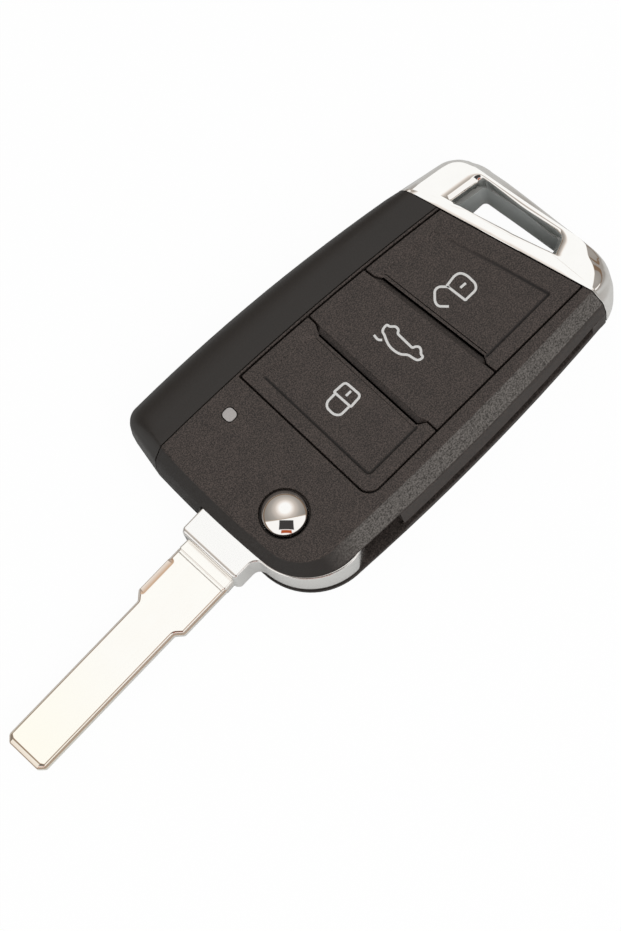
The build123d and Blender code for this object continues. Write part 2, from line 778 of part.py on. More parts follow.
# Uncut blade with a wide root, bevelled all round
root_end_x = neck_end_x - blade_root_length
collar_end_x = neck_end_x - blade_collar_length
root_step = (blade_root_width - blade_width) / 2
half_root = blade_root_width / 2
half_blade = blade_width / 2
blade_points = [
    (neck_end_x, half_root - blade_collar_rise),
    (collar_end_x, half_root),
    (root_end_x, half_root),
    (root_end_x - root_step, half_blade),
    (blade_tip_x + tip_bevel, half_blade),
    (blade_tip_x, half_blade - tip_bevel),
]
with BuildPart() as square_blade:
    with BuildSketch(Plane.XY.offset(blade_bottom)):
        with BuildLine():
            Polyline(
                *[(x, blade_y + y) for x, y in blade_points],
                *[(x, blade_y - y) for x, y in reversed(blade_points)],
                close=True,
            )
        make_face()
    extrude(amount=blade_thickness)
    blade_rims = square_blade.faces().filter_by(Axis.Z).edges()
    outer_rims = blade_rims.filter_by(lambda edge: edge.center().X < neck_end_x - 1)
    chamfer(outer_rims, blade_bevel)
    with BuildSketch(Plane.XY.offset(blade_bottom)):
        with Locations((neck_end_x, blade_y)):
            Rectangle(tang_length, tang_width, align=(Align.MIN, Align.CENTER))
    extrude(amount=blade_thickness)
    with BuildSketch(Plane.XY.offset(blade_bottom - blade_collar_rise)):
        with Locations((neck_end_x, blade_y)):
            Rectangle(blade_collar_length, blade_root_width - 2 * root_step, align=(Align.MAX, Align.CENTER))
    extrude(amount=blade_thickness + 2 * blade_collar_rise)
    with BuildSketch(Plane.XY):
        with Locations(pin_place):
            Circle(roll_pin_radius + roll_pin_clearance)
    extrude(amount=case_height, mode=Mode.SUBTRACT)
blade = opened(square_blade)
save(blade, "blade")

# Slit roll pin that holds the blade's tang in the neck
with BuildPart() as square_pin:
    with BuildSketch(Plane.XY.offset(head_bottom)):
        with Locations(pin_place):
            Circle(roll_pin_radius)
            Circle(roll_pin_bore, mode=Mode.SUBTRACT)
        with Locations((pin_place[0] + roll_pin_radius, pin_place[1])):
            Rectangle(2 * roll_pin_radius, roll_pin_slit, mode=Mode.SUBTRACT)
    extrude(amount=roll_pin_length)
roll_pin = opened(square_pin)
save(roll_pin, "roll_pin")

# Circuit board, cut round the sweep of the blade head
board_far_line = [(x - board_end_gap, y) for x, y in cap_line]
board_left_offset = -3 * joint_gap
arm_middle = (board_arm_x + cap_joint_x) / 2
with BuildPart() as circuit_board:
    with BuildSketch(Plane.XY.offset(board_bottom)):
        with BuildLine():
            ThreePointArc(
                (board_arm_x, seam_y(board_arm_x) + board_left_offset),
                (arm_middle, seam_y(arm_middle) + board_left_offset),
                (cap_joint_x, seam_y(cap_joint_x) + board_left_offset),
            )
            Polyline(
                (cap_joint_x, seam_y(cap_joint_x) + board_left_offset),
                (cap_joint_x, board_right_y),
                (board_start_x, board_right_y),
                (board_start_x, board_arm_y),
                (board_arm_x, board_arm_y),
                (board_arm_x, seam_y(board_arm_x) + board_left_offset),
            )
        make_face()
        Circle(head_sweep + head_sweep_gap, mode=Mode.SUBTRACT)
        with BuildSketch(mode=Mode.INTERSECT):
            with BuildLine():
                Polyline((-outside, left_y), (-outside, right_y), *reversed(board_far_line), close=True)
            make_face()
    extrude(amount=board_thickness)
save(circuit_board, "circuit_board")


def chip(centre, size, name, base=board_top):
    # small rectangular part standing on the board
    with BuildPart() as body:
        with BuildSketch(Plane.XY.offset(base)):
            with Locations(centre):
                Rectangle(size[0], size[1])
        extrude(amount=size[2])
    save(body, name)


for switch_name, switch_place in zip(("lock_switch", "trunk_switch", "unlock_switch"), switch_places):
    with BuildPart() as tact_switch:
        with BuildSketch(Plane.XY.offset(board_top)):
            with Locations(switch_place):
                RectangleRounded(switch_size, switch_size, switch_size / 12)
        extrude(amount=switch_body)
        with BuildSketch(Plane.XY.offset(board_top + switch_body)):
            with Locations(switch_place):
                Circle(switch_cap_radius)
        extrude(amount=switch_height - switch_body)
    save(tact_switch, switch_name)

chip((led_x, led_y), (led_length, led_width, led_height), "status_led")
controller_box = (controller_length, controller_width, controller_height)
transponder_box = (transponder_length, transponder_width, transponder_height)
chip((controller_x, controller_y), controller_box, "controller_chip")
chip((crystal_x, crystal_y), (crystal_length, crystal_width, crystal_height), "crystal")
chip((antenna_x, antenna_y), (antenna_size, antenna_size, antenna_height), "antenna_coil")
chip((transponder_x, transponder_y), transponder_box, "transponder_chip", base=floor_top)

# Coin cell: wide can with a stepped negative cap on top
with BuildPart() as coin_cell:
    with BuildSketch(Plane.XY.offset(cell_bottom)):
        with Locations((cell_x, cell_y)):
            Circle(cell_radius)
    extrude(amount=cell_height - cell_step)
    with BuildSketch(Plane.XY.offset(cell_top - cell_step)):
        with Locations((cell_x, cell_y)):
            Circle(cell_radius - cell_rim)
    extrude(amount=cell_step)
save(coin_cell, "coin_cell")

# Negative contact: leaf over the cell, hung from the board by one leg
with BuildPart() as negative_contact:
    with BuildSketch(Plane.XY.offset(cell_top + contact_gap)):
        with Locations((cell_x, cell_y)):
            Rectangle(negative_reach, contact_width)
    extrude(amount=contact_thickness)
    with BuildSketch(Plane.XY.offset(cell_top + contact_gap)):
        with Locations((cell_x + negative_reach / 2, cell_y)):
            Rectangle(contact_thickness, contact_width, align=(Align.MAX, Align.CENTER))
    extrude(amount=board_bottom - cell_top - contact_gap)
save(negative_contact, "negative_contact")

# Positive contact: spring plate against the can, bent over under the board
positive_y = cell_y - cell_radius - contact_gap
with BuildPart() as positive_contact:
    with BuildSketch(Plane.XY.offset(floor_top + contact_gap)):
        with Locations((cell_x, positive_y)):
            Rectangle(contact_width, contact_thickness, align=(Align.CENTER, Align.MAX))
    extrude(amount=board_bottom - floor_top - contact_gap)
    with BuildSketch(Plane.XY.offset(board_bottom - contact_thickness)):
        with Locations((cell_x, positive_y)):
            Rectangle(contact_width, contact_width / 2, align=(Align.CENTER, Align.MIN))
    extrude(amount=contact_thickness)
save(positive_contact, "positive_contact")

# Case screw, driven from the back under the cover
screw_head_bottom = cover_plate + cover_gap
with BuildPart() as case_screw:
    with BuildSketch(Plane.XY.offset(screw_head_bottom)):
        with Locations((screw_x, screw_y)):
            Circle(screw_head_radius)
    extrude(amount=screw_head_height)
    with BuildSketch(Plane.XY.offset(screw_head_bottom + screw_head_height)):
        with Locations((screw_x, screw_y)):
            Circle(screw_radius - joint_gap)
    extrude(amount=screw_length - screw_head_height)
    with BuildSketch(Plane.XY.offset(screw_head_bottom)):
        with Locations((screw_x, screw_y)):
            Rectangle(screw_head_radius, screw_radius / 2)
            Rectangle(screw_radius / 2, screw_head_radius)
    extrude(amount=screw_head_height / 2, mode=Mode.SUBTRACT)
save(case_screw, "case_screw")
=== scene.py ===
import math

import bmesh
import bpy
import numpy as np
from mathutils import Matrix, Vector


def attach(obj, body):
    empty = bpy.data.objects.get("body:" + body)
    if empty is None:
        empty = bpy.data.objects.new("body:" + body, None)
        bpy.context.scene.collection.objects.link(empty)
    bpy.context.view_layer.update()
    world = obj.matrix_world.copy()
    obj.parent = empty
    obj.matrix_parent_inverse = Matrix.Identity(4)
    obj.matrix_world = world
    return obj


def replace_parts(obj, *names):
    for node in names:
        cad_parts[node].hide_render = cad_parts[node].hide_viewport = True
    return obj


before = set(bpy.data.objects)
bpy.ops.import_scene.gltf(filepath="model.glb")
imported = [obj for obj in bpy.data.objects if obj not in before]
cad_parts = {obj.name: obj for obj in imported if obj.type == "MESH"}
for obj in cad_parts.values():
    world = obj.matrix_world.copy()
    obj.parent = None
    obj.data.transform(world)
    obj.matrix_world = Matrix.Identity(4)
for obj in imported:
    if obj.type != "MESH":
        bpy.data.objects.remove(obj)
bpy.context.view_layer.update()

# Flip key remote shell, lying on its back on a pale table with the blade swung out.
# Lengths are in millimetres here and become metres when a mesh is made.
mm = 0.001
print("frame loaded:", len(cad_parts), "parts")


# Node sums

class Flow:
    # one node socket; sums, products and the like of it add Math nodes to its tree
    def __init__(self, tree, socket):
        self.tree = tree
        self.socket = socket

    def sum(self, operation, *values):
        node = self.tree.nodes.new("ShaderNodeMath")
        node.operation = operation
        for place, value in zip(node.inputs, values):
            feed(self.tree, place, value)
        return Flow(self.tree, node.outputs[0])

    def __add__(self, other):
        return self.sum("ADD", self, other)

    __radd__ = __add__

    def __sub__(self, other):
        return self.sum("SUBTRACT", self, other)

    def __rsub__(self, other):
        return self.sum("SUBTRACT", other, self)

    def __mul__(self, other):
        return self.sum("MULTIPLY", self, other)

    def __truediv__(self, other):
        return self.sum("DIVIDE", self, other)


def feed(tree, place, value):
    # a link when the value comes from a node, else a set value; a colour is three numbers
    if isinstance(value, Flow):
        tree.links.new(value.socket, place)
    elif place.type == "RGBA":
        place.default_value = (*value, 1)
    else:
        place.default_value = value


class NodeSheet:
    # adds nodes to one tree: settings first, then values or links
    def __init__(self, tree):
        self.tree = tree

    def node(self, kind, settings=None, values=None, output=0):
        made = self.tree.nodes.new("ShaderNode" + kind)
        for key, value in (settings or {}).items():
            if key == "stops":
                ramp = made.color_ramp
                for spot, (position, shade) in enumerate(value):
                    stop = ramp.elements[spot] if spot < 2 else ramp.elements.new(position)
                    stop.position = position
                    stop.color = (*shade, 1)
            else:
                setattr(made, key, value)
        for key, value in (values or {}).items():
            feed(self.tree, made.inputs[key], value)
        return Flow(self.tree, made.outputs[output])

    def blend(self, share, low, high):
        # colour that goes from low to high as the share goes from 0 to 1
        return self.node("Mix", {"data_type": "RGBA"}, {0: share, 6: low, 7: high}, output=2)

    def within(self, value):
        # value held between 0 and 1
        return value.sum("MINIMUM", value.sum("MAXIMUM", value, 0.0), 1.0)

    def ray(self, kind):
        # 1 for a ray of this kind, else 0
        return self.node("LightPath", output="Is " + kind + " Ray")

    def rising(self, value, start, span):
        # 0 before the start, 1 from the span after it on; a negative span runs the other way
        return self.within((value - start) / span)


class Finish(NodeSheet):
    # a material's nodes, built around one principled shader
    def __init__(self, name, metallic=0.0):
        self.material = bpy.data.materials.new(name)
        self.material.use_nodes = True
        super().__init__(self.material.node_tree)
        self.shader = self.tree.nodes["Principled BSDF"]
        self.shader.inputs["Metallic"].default_value = metallic
        self.place = self.node("TexCoord", output="Object")

    def noise(self, perMm, detail=2.0, stretch=(1, 1, 1)):
        # value noise whose features are 1 / perMm across, longer along the small stretch numbers
        scale = [v * 1000 * perMm for v in stretch]
        scaled = self.node("Mapping", values={"Vector": self.place, "Scale": scale})
        return self.node("TexNoise", values={"Vector": scaled, "Scale": 1.0, "Detail": detail}, output="Fac")

    def along(self, axis):
        # place along one axis, in millimetres
        return self.node("SeparateXYZ", values={0: self.place}, output=axis) * 1000

    def shade(self, name):
        # the number that the piece's points carry under this name
        return self.node("Attribute", {"attribute_name": name}, output="Fac")

    def use(self, color, roughness, height=None, depth=0.0):
        # feeds the shader; height is a 0 to 1 relief that stands depth millimetres high
        feed(self.tree, self.shader.inputs["Base Color"], color)
        feed(self.tree, self.shader.inputs["Roughness"], roughness)
        if height is not None:
            bump = self.node("Bump", values={"Height": height, "Distance": depth * mm, "Strength": 1.0})
            feed(self.tree, self.shader.inputs["Normal"], bump)
        return self.material


# Finishes

texturedLook = {
    "low": (0.010, 0.0070, 0.0055), "high": (0.096, 0.075, 0.066), "rough": (0.50, 0.74),
    "grainPerMm": 4.6, "grainDepth": 0.040, "contrast": 3.4, "middle": 0.42, "mottlePerMm": 0.35, "mottle": 0.4,
    # the painted sheen and coarser grain on the sloping right side: its tones, where it begins in each direction,
    # over how much
    "paintedSheenLow": (0.030, 0.026, 0.023), "paintedSheenHigh": (0.165, 0.150, 0.138), "paintedSheenPerMm": 3.4,
    "paintedSheenDown": (13.22, -0.22), "paintedSheenUp": (9.75, 0.15), "paintedSheenSide": (-8.6, -2.4), "paintedSheenAlong": (-1.0, 7.0),
    # painted shade: how much darker the slopes below the face are, and how much more so round the front corner
    "paintedSlopeShade": (0.012, 0.010, 0.009), "slopeShare": 0.35, "cornerShare": 0.85, "corner": (3.5, -5.0),
    # painted shade in the keys' grooves and on the middle key's slopes
    "grooveShadeTone": (0.004, 0.003, 0.003),
}


def texturedPlastic(name, look):
    # spark-eroded black-brown plastic: fine grain with faint wide mottling; where a look has a painted sheen, the
    # slopes below the face get painted shade and the right one a coarser grain under a paler painted sheen
    made = Finish(name)
    grain = made.noise(look["grainPerMm"])
    mottle = made.noise(look["mottlePerMm"])
    mask = made.within((grain - 0.5) * look["contrast"] + (mottle - 0.5) * look["mottle"] + look["middle"])
    color = made.blend(mask, look["low"], look["high"])
    relief = grain
    if "paintedSheenLow" in look:
        coarse = made.noise(look["paintedSheenPerMm"], detail=3.0)
        patches = made.within((coarse - 0.5) * look["contrast"] + 0.5)
        paintedSheen = made.blend(patches, look["paintedSheenLow"], look["paintedSheenHigh"])
        along, side, up = (made.along(axis) for axis in "XYZ")
        below = made.rising(up, *look["paintedSheenDown"])
        share = below * made.rising(side, *look["paintedSheenSide"])
        share = share * made.rising(up, *look["paintedSheenUp"]) * made.rising(along, *look["paintedSheenAlong"])
        # painted shade on the slopes below the face, more of it round the front corner
        corner = made.rising(along, *look["corner"])
        dim = below * (look["slopeShare"] + corner * (look["cornerShare"] - look["slopeShare"]))
        color = made.blend(dim, color, look["paintedSlopeShade"])
        # painted sheen, paler and coarser, on the sloping right side
        color = made.blend(share, color, paintedSheen)
        relief = grain * (1 - share) + coarse * share
    # painted shade where the points' "groove" numbers say
    if "grooveShadeTone" in look:
        color = made.blend(made.shade("groove"), color, look["grooveShadeTone"])
    low, high = look["rough"]
    return made.use(color, low + mask * (high - low), height=relief, depth=look["grainDepth"])


smoothLook = {
    "low": (0.012, 0.0098, 0.0083), "high": (0.023, 0.0188, 0.0165), "rough": (0.42, 0.52),
    "grainPerMm": 4.0, "grainDepth": 0.012, "contrast": 1.6, "middle": 0.42, "mottlePerMm": 0.12, "mottle": 0.4,
}


def metalFinish(name, low, high, roughLow, roughHigh, perMm, depth, stretch=(1, 1, 1), tints=None):
    # bare or plated metal: the relief follows tool marks, and tone and roughness six tenths of these and four of a
    # broad cloud; with tints, the tone warms towards the far end and browns by the points' "edge" numbers, a painted
    # reflection
    made = Finish(name, metallic=1.0)
    marks = made.noise(perMm, detail=3.0, stretch=stretch)
    cloud = made.noise(perMm * 0.08)
    mask = marks * 0.6 + cloud * 0.4
    color = made.blend(mask, low, high)
    if tints:
        color = made.blend(made.rising(made.along("X"), *tints["far"]), color, tints["end"])
        # painted reflection of warm surroundings, brown on the blade's bevels
        color = made.blend(made.shade("edge"), color, tints["edge"])
    return made.use(color, roughLow + mask * (roughHigh - roughLow), height=marks, depth=depth)


def plainPart(name, low, high, roughness, perMm=2.0, depth=0.01, spread=0.12):
    # simple moulded or coated inner part with a little grain
    made = Finish(name)
    grain = made.noise(perMm)
    return made.use(made.blend(grain, low, high), roughness + (grain - 0.5) * spread, height=grain, depth=depth)


texturedBlack = texturedPlastic("texturedBlack", texturedLook)
# the keys take the plain look, without the painted sheen and the slopes' painted shade
keyLooks = {name: value for name, value in texturedLook.items() if "paintedSheen" not in name}
keyBlack = texturedPlastic("keyBlack", keyLooks)
smoothBlack = texturedPlastic("smoothBlack", smoothLook)
chrome = metalFinish("chromePlate", (0.93, 0.92, 0.90), (0.99, 0.98, 0.965), 0.02, 0.05, 0.5, 0.0003)
bladeTints = {"edge": (0.58, 0.36, 0.21), "end": (1.0, 0.975, 0.885), "far": (-36.0, -20.0)}
nickel = metalFinish("nickelBlade", (0.97, 0.94, 0.89), (1.0, 0.995, 0.965), 0.06, 0.14, 2.5, 0.0012,
                     (0.08, 1, 1), bladeTints)
satinZinc = metalFinish("satinZinc", (0.92, 0.915, 0.905), (0.985, 0.98, 0.97), 0.12, 0.18, 3.0, 0.003)
plainSteel = metalFinish("plainSteel", (0.52, 0.52, 0.52), (0.62, 0.62, 0.62), 0.25, 0.35, 3.0, 0.003)
tinnedCan = metalFinish("tinnedCan", (0.66, 0.66, 0.67), (0.78, 0.78, 0.78), 0.22, 0.34, 3.0, 0.003)
springBrass = metalFinish("springBrass", (0.66, 0.50, 0.24), (0.76, 0.60, 0.32), 0.22, 0.34, 3.0, 0.003)
mattRubber = plainPart("mattRubber", (0.020, 0.020, 0.020), (0.035, 0.035, 0.035), 0.85)
boardGreen = plainPart("boardGreen", (0.010, 0.075, 0.030), (0.020, 0.110, 0.045), 0.40)
chipBlack = plainPart("chipBlack", (0.016, 0.016, 0.017), (0.026, 0.026, 0.027), 0.55)
paleResin = plainPart("paleResin", (0.70, 0.67, 0.56), (0.80, 0.77, 0.66), 0.45)
windowGrey = plainPart("windowGrey", (0.40, 0.375, 0.36), (0.50, 0.475, 0.46), 0.45, 3.0, 0.008)
wallGrey = plainPart("wallGrey", (0.46, 0.48, 0.47), (0.55, 0.57, 0.56), 0.35, 1.0, 0.004)
printGrey = plainPart("printGrey", (0.66, 0.65, 0.63), (0.78, 0.77, 0.75), 0.55, 5.0, 0.004)
print("finishes made")


# Meshes

arcPoints = 8  # points in each rounded corner of an outline


def placed(name, data):
    # the data as an object of the scene, at the origin
    made = bpy.data.objects.new(name, data)
    bpy.context.scene.collection.objects.link(made)
    return made


def makePiece(name, points, faces, finish, body, smoothAngle=30):
    # points in millimetres, an array of places; faces smooth across edges flatter than smoothAngle
    mesh = bpy.data.meshes.new(name)
    mesh.from_pydata((np.asarray(points) * mm).tolist(), [], faces)
    mesh.validate()
    mesh.update()
    piece = placed(name, mesh)
    mesh.materials.append(finish)
    mesh.shade_smooth()
    mesh.set_sharp_from_angle(angle=math.radians(smoothAngle))
    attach(piece, body)
    return piece


def addShades(piece, name, values):
    # one number for each point, which the piece's finish reads
    shades = piece.data.attributes.new(name, "FLOAT", "POINT")
    shades.data.foreach_set("value", np.asarray(values, np.float32))


def gridFaces(rows, columns, closeRows):
    # quads of a grid whose columns always close on themselves; the rows close too when closeRows is set
    row = np.arange(rows if closeRows else rows - 1)[:, None]
    column = np.arange(columns)[None, :]
    low, high, aside = row * columns, (row + 1) % rows * columns, (column + 1) % columns
    return np.stack([low + column, low + aside, high + aside, high + column], axis=-1).reshape(-1, 4).tolist()


def stackFaces(rows, columns):
    # side quads of a stack of loops, and one face over each end
    ends = [list(range(columns))[::-1], list(range((rows - 1) * columns, rows * columns))]
    return gridFaces(rows, columns, False) + ends


def roundedLoop(corners, radii, inset=0.0, steps=arcPoints):
    # outline of a polygon moved inwards by inset; each corner becomes an arc of its radius, which shrinks with
    # the inset on an outer corner and grows on an inner one
    corners = np.asarray(corners, float)
    back = corners - np.roll(corners, 1, 0)
    back /= np.linalg.norm(back, axis=1)[:, None]
    left = back[:, ::-1] * (-1, 1)
    ahead, leftAhead = np.roll(back, -1, 0), np.roll(left, -1, 0)
    turn = np.arctan2((left * ahead).sum(1), (back * ahead).sum(1))
    side = np.where(turn < 0, -1.0, 1.0)
    keep = np.maximum(radii - side * inset, 0.002)
    middle = (left + leftAhead) / (1 + (left * leftAhead).sum(1))[:, None]
    centre = corners + middle * (inset + side * keep)[:, None]
    start = np.arctan2(-side * left[:, 1], -side * left[:, 0])
    angle = start[:, None] + turn[:, None] * np.linspace(0, 1, steps)[None, :]
    loop = centre[:, None, :] + keep[:, None, None] * np.stack([np.cos(angle), np.sin(angle)], -1)
    return loop.reshape(-1, 2)


def stackLoops(corners, radii, profile, support=0.06):
    # outline stacked along a profile of (inset, height) pairs; a level may bring corners and radii of its own, and
    # its height may be a number for each corner; each end gets a second loop, further in, so that it shades flat
    ends = [(level[0] + support, *level[1:]) for level in (profile[0], profile[-1])]
    profile = [ends[0], *profile, ends[1]]
    loops = []
    for inset, height, *own in profile:
        loop = roundedLoop(*(own or (corners, radii)), inset)
        heights = np.repeat(np.broadcast_to(height, len(corners)), arcPoints)
        loops.append(np.column_stack([loop, heights]))
    return np.concatenate(loops), stackFaces(len(loops), len(corners) * arcPoints)


def turned(points, degrees):
    # points turned about the pivot axis
    angle = math.radians(degrees)
    across, up = math.cos(angle), math.sin(angle)
    return points @ np.array([[across, up, 0], [-up, across, 0], [0, 0, 1]])


def revolved(profile, steps):
    # (radius, height) pairs carried round the pivot axis; the ends on the axis are closed by small faces
    radius, height = np.asarray(profile, float).T[:, :, None]
    angle = np.linspace(0, 2 * math.pi, steps, endpoint=False)
    points = np.stack([radius * np.cos(angle), radius * np.sin(angle), height + 0 * angle], -1)
    return points.reshape(-1, 3), stackFaces(len(profile), steps)


copyRounding = {"weld": 1e-7, "flat": 0.3, "sharp": 26, "segments": 3}  # metres, degrees, degrees, rows


def roundedCopy(nodeName, pieceName, finish, body, width):
    # the CAD part's own surface, welded and without the lines across its flat places, with every edge sharper
    # than the sharp angle rounded by width millimetres
    build = bmesh.new()
    build.from_mesh(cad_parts[nodeName].data)
    bmesh.ops.remove_doubles(build, verts=build.verts, dist=copyRounding["weld"])
    flat = math.radians(copyRounding["flat"])
    bmesh.ops.dissolve_limit(build, angle_limit=flat, verts=build.verts, edges=build.edges)
    mesh = bpy.data.meshes.new(pieceName)
    build.to_mesh(mesh)
    build.free()
    if "custom_normal" in mesh.attributes:
        mesh.attributes.remove(mesh.attributes["custom_normal"])
    piece = placed(pieceName, mesh)
    mesh.materials.append(finish)
    mesh.shade_smooth()
    soft = piece.modifiers.new("softEdges", "BEVEL")
    soft.width = width * mm
    soft.segments = copyRounding["segments"]
    soft.limit_method = "ANGLE"
    soft.angle_limit = math.radians(copyRounding["sharp"])
    soft.use_clamp_overlap = False
    soft.harden_normals = True
    soft.miter_outer = "MITER_ARC"
    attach(piece, body)
    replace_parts(piece, nodeName)
    return piece


# Case

shells = {  # for each CAD shell: the piece that takes its place, its finish and the width of its rounded edges
    "front_shell": ("frontShell", texturedBlack, 0.16), "back_shell": ("backShell", texturedBlack, 0.18),
    "back_cover": ("sideCover", smoothBlack, 0.12),
}
for name, (pieceName, finish, width) in shells.items():
    roundedCopy(name, pieceName, finish, "case", width)
print("case shells rounded")

# Key-ring end

ringEnd = {
    # the case's far end: its limits, and the joint with the shells, turned by slant degrees
    "farX": 70.24, "leftY": 33.2, "rightY": -13.6, "top": 13.3, "centre": (63.6, 8.6),
    "jointX": 61.45, "slant": 13.4, "jointRound": 0.12,
    # its side: the widest height, the parting line, and the round crown on the left
    "belt": 9.6, "parting": 5.8, "beltLean": 0.2, "crownWidth": 6.5, "crownDrop": 5.0, "crownShare": 0.62,
    "leftLine": (58.6, 27.0, -0.2308),
    # outline spots: place from the far end, place from the right or left limit, lean inwards above the belt in x and
    # y, share of the crown, and the crown's direction
    "rightSpots": [
        (-39.24, -0.75, 0, 3.5, 0, 0, -1), (-7.5, 0.6, 0.3, 2.8, 0, 0, -1), (-1.7, 2.9, -0.9, 2.1, 0, 0.7, -0.7),
        (0, 9.6, -0.7, -0.5, 0, 1, 0),
    ],
    "leftSpots": [
        (-1.2, -13.9, -0.8, -1.3, 0, 1, 0), (-2.9, -9.7, -0.6, -1.0, 0.1, 0.7, 0.7),
        (-6.3, -7.5, -0.2, 0, 0.3, 0.2, 0.98), (-18.0, -4.8, 0, 0, 0.6, 0.15, 0.98),
    ],
    # the ring's sloping plane, its underside and the collar between the ring and the shells
    "planeSlope": 0.19, "planeStart": 2.2, "planeSoft": 0.04,
    "backSlope": 0.185, "backStartX": 61.6, "backBevel": 0.9,
    "collarBulge": 0.13, "collarRise": 8, "bulgeFade": (2.0, 6, 4), "jointEnds": (-11.5, 25.5),
    # the hole, its rolled lip (greatest steepness, least and most depth) and the lower lip (across, up)
    "hole": [(58.95, 18.48), (60.25, 14.9), (62.15, 7.0), (64.55, -0.15), (67.58, 1.22), (65.93, 17.72)],
    "holeCorner": (0.5, 20, 20, 0.5, 0.9, 1.0),
    "lip": [(58.5, 21.37), (59.9, 15.0), (61.8, 6.6), (64.6, -2.3), (69.0, -0.5), (66.44, 20.35)],
    "lipCorner": (0.4, 8, 8, 0.6, 2.2, 2.2), "lipSteep": 1.3, "lipDepth": (0.35, 3.6), "lowerLip": (0.8, 0.9),
    # the top's outer edge, the shoulder below it and the crease between the collar and the ring's plane
    "rim": [(50.0, 25.8), (57.71, 24.95), (61.0, 24.62), (62.93, 24.38), (64.57, 23.91), (65.86, 22.75),
            (66.6, 21.0), (67.0, 19.3), (68.0, 10.5), (69.1, 1.73), (69.5, -1.5), (69.4, -3.3), (68.8, -4.3),
            (68.1, -5.3), (67.5, -6.8), (66.7, -8.1), (65.7, -8.95), (63.93, -10.08), (60.5, -11.5), (54.0, -13.0)],
    "rimRound": (1.3, 0.35, 3.4), "rimProbe": 1.0, "shoulder": (0.52, 0.85, -3.0, 5.0, 6),
    "ridge": [(56.3, 27.6), (57.33, 24.85), (58.69, 21.13), (59.20, 19.01), (60.32, 14.89), (62.05, 7.0),
              (62.9, 3.65), (64.3, -0.3), (65.26, -1.76), (67.71, -3.72), (69.4, -4.34), (73, -5.6)],
    # least distances along a spoke, from the hole outwards
    "holeToLip": 0.3, "lipToRidge": 0.06, "ridgeToRim": 0.03, "lipToRim": 0.25, "rimToSide": 0.1,
    # spokes, closer together by (direction, width, strength); levels of the side's table; points in each corner of
    # the hole and lip; rows of each stretch
    "columns": 840, "closer": [(1.95, 0.17, 6.0), (4.74, 0.14, 3.0)], "levels": 80, "cornerSteps": 24,
    "rows": {"side": 26, "shoulder": 16, "collar": 12, "plane": 8, "lip": 11, "wall": 5, "lowerLip": 7, "back": 6},
}


def softCurve(points, steps=12):
    # smooth line through the points: each span is a cubic whose ends lean along the neighbours' chord
    points = np.asarray(points, float)
    ends = np.concatenate([2 * points[:1] - points[1:2], points, 2 * points[-1:] - points[-2:-1]])
    a, b, c, d = (ends[i:i + len(points) - 1][:, None, :] for i in range(4))
    t = np.linspace(0, 1, steps, endpoint=False)[None, :, None]
    line = b + 0.5 * t * (c - a + t * (2 * a - 5 * b + 4 * c - d + t * (3 * (b - c) + d - a)))
    return np.concatenate([line.reshape(-1, 2), points[-1:]])


def arcThrough(first, middle, last, steps):
    # points of the circle through three places, from the first to the last
    first, middle, last = (np.asarray(p, float) for p in (first, middle, last))
    a = middle - first
    b = last - first
    cross = 2 * (a[0] * b[1] - a[1] * b[0])
    ofFirst, ofLast = a @ a, b @ b
    centre = first + np.array([b[1] * ofFirst - a[1] * ofLast, a[0] * ofLast - b[0] * ofFirst]) / cross
    angles = [math.atan2(*(p - centre)[::-1]) for p in (first, middle, last)]
    sweep = (angles[2] - angles[0]) % (2 * math.pi)
    if (angles[1] - angles[0]) % (2 * math.pi) > sweep:
        sweep -= 2 * math.pi
    angle = angles[0] + np.linspace(0, sweep, steps)
    return centre + np.hypot(*(first - centre)) * np.column_stack([np.cos(angle), np.sin(angle)])


def endOutline(look, height):
    # outline of the case's far end at one height, from the right side round to the left
    lean = np.interp(height, [look["parting"], look["belt"], look["top"]], [0, look["beltLean"], 1])
    depth = min(1.0, (look["top"] - height) / look["crownDrop"])
    crown = look["crownWidth"] * (1 - math.sin(math.acos(1 - depth)))
    place = []
    for side in ("right", "left"):
        for x, y, leanX, leanY, share, outX, outY in look[side + "Spots"]:
            place.append(np.array([look["farX"] + x + lean * leanX - crown * share * outX,
                                   look[side + "Y"] + y + lean * leanY - crown * share * outY]))
    return np.concatenate([
        np.linspace(place[0], place[1], 60), arcThrough(place[1], place[2], place[3], 200),
        np.linspace(place[3], place[4], 60), arcThrough(place[4], place[5], place[6], 160),
        np.linspace(place[6], place[7], 100),
    ])


def reach(look, angles, outline):
    # distance from the hole's middle to a line of points, in each direction; infinite where the line isn't met
    x, y = (outline[:-1] - np.array(look["centre"])).T[:, None, :]
    stepX, stepY = (outline[1:] - outline[:-1]).T[:, None, :]
    spokeX, spokeY = np.cos(angles)[:, None], np.sin(angles)[:, None]
    cross = spokeX * stepY - spokeY * stepX
    level = abs(cross) < 1e-12
    cross = np.where(level, 1e-12, cross)
    along = (x * stepY - y * stepX) / cross
    share = (x * spokeY - y * spokeX) / cross
    hit = (share >= -1e-9) & (share <= 1 + 1e-9) & (along > 0) & ~level
    return np.where(hit, along, np.inf).min(1)


def supported(count):
    # shares from just after 0 up to 1, with a close row at either end that keeps the crease there crisp
    return (0.02, *np.linspace(0, 1, count)[1:-1], 0.98, 1)


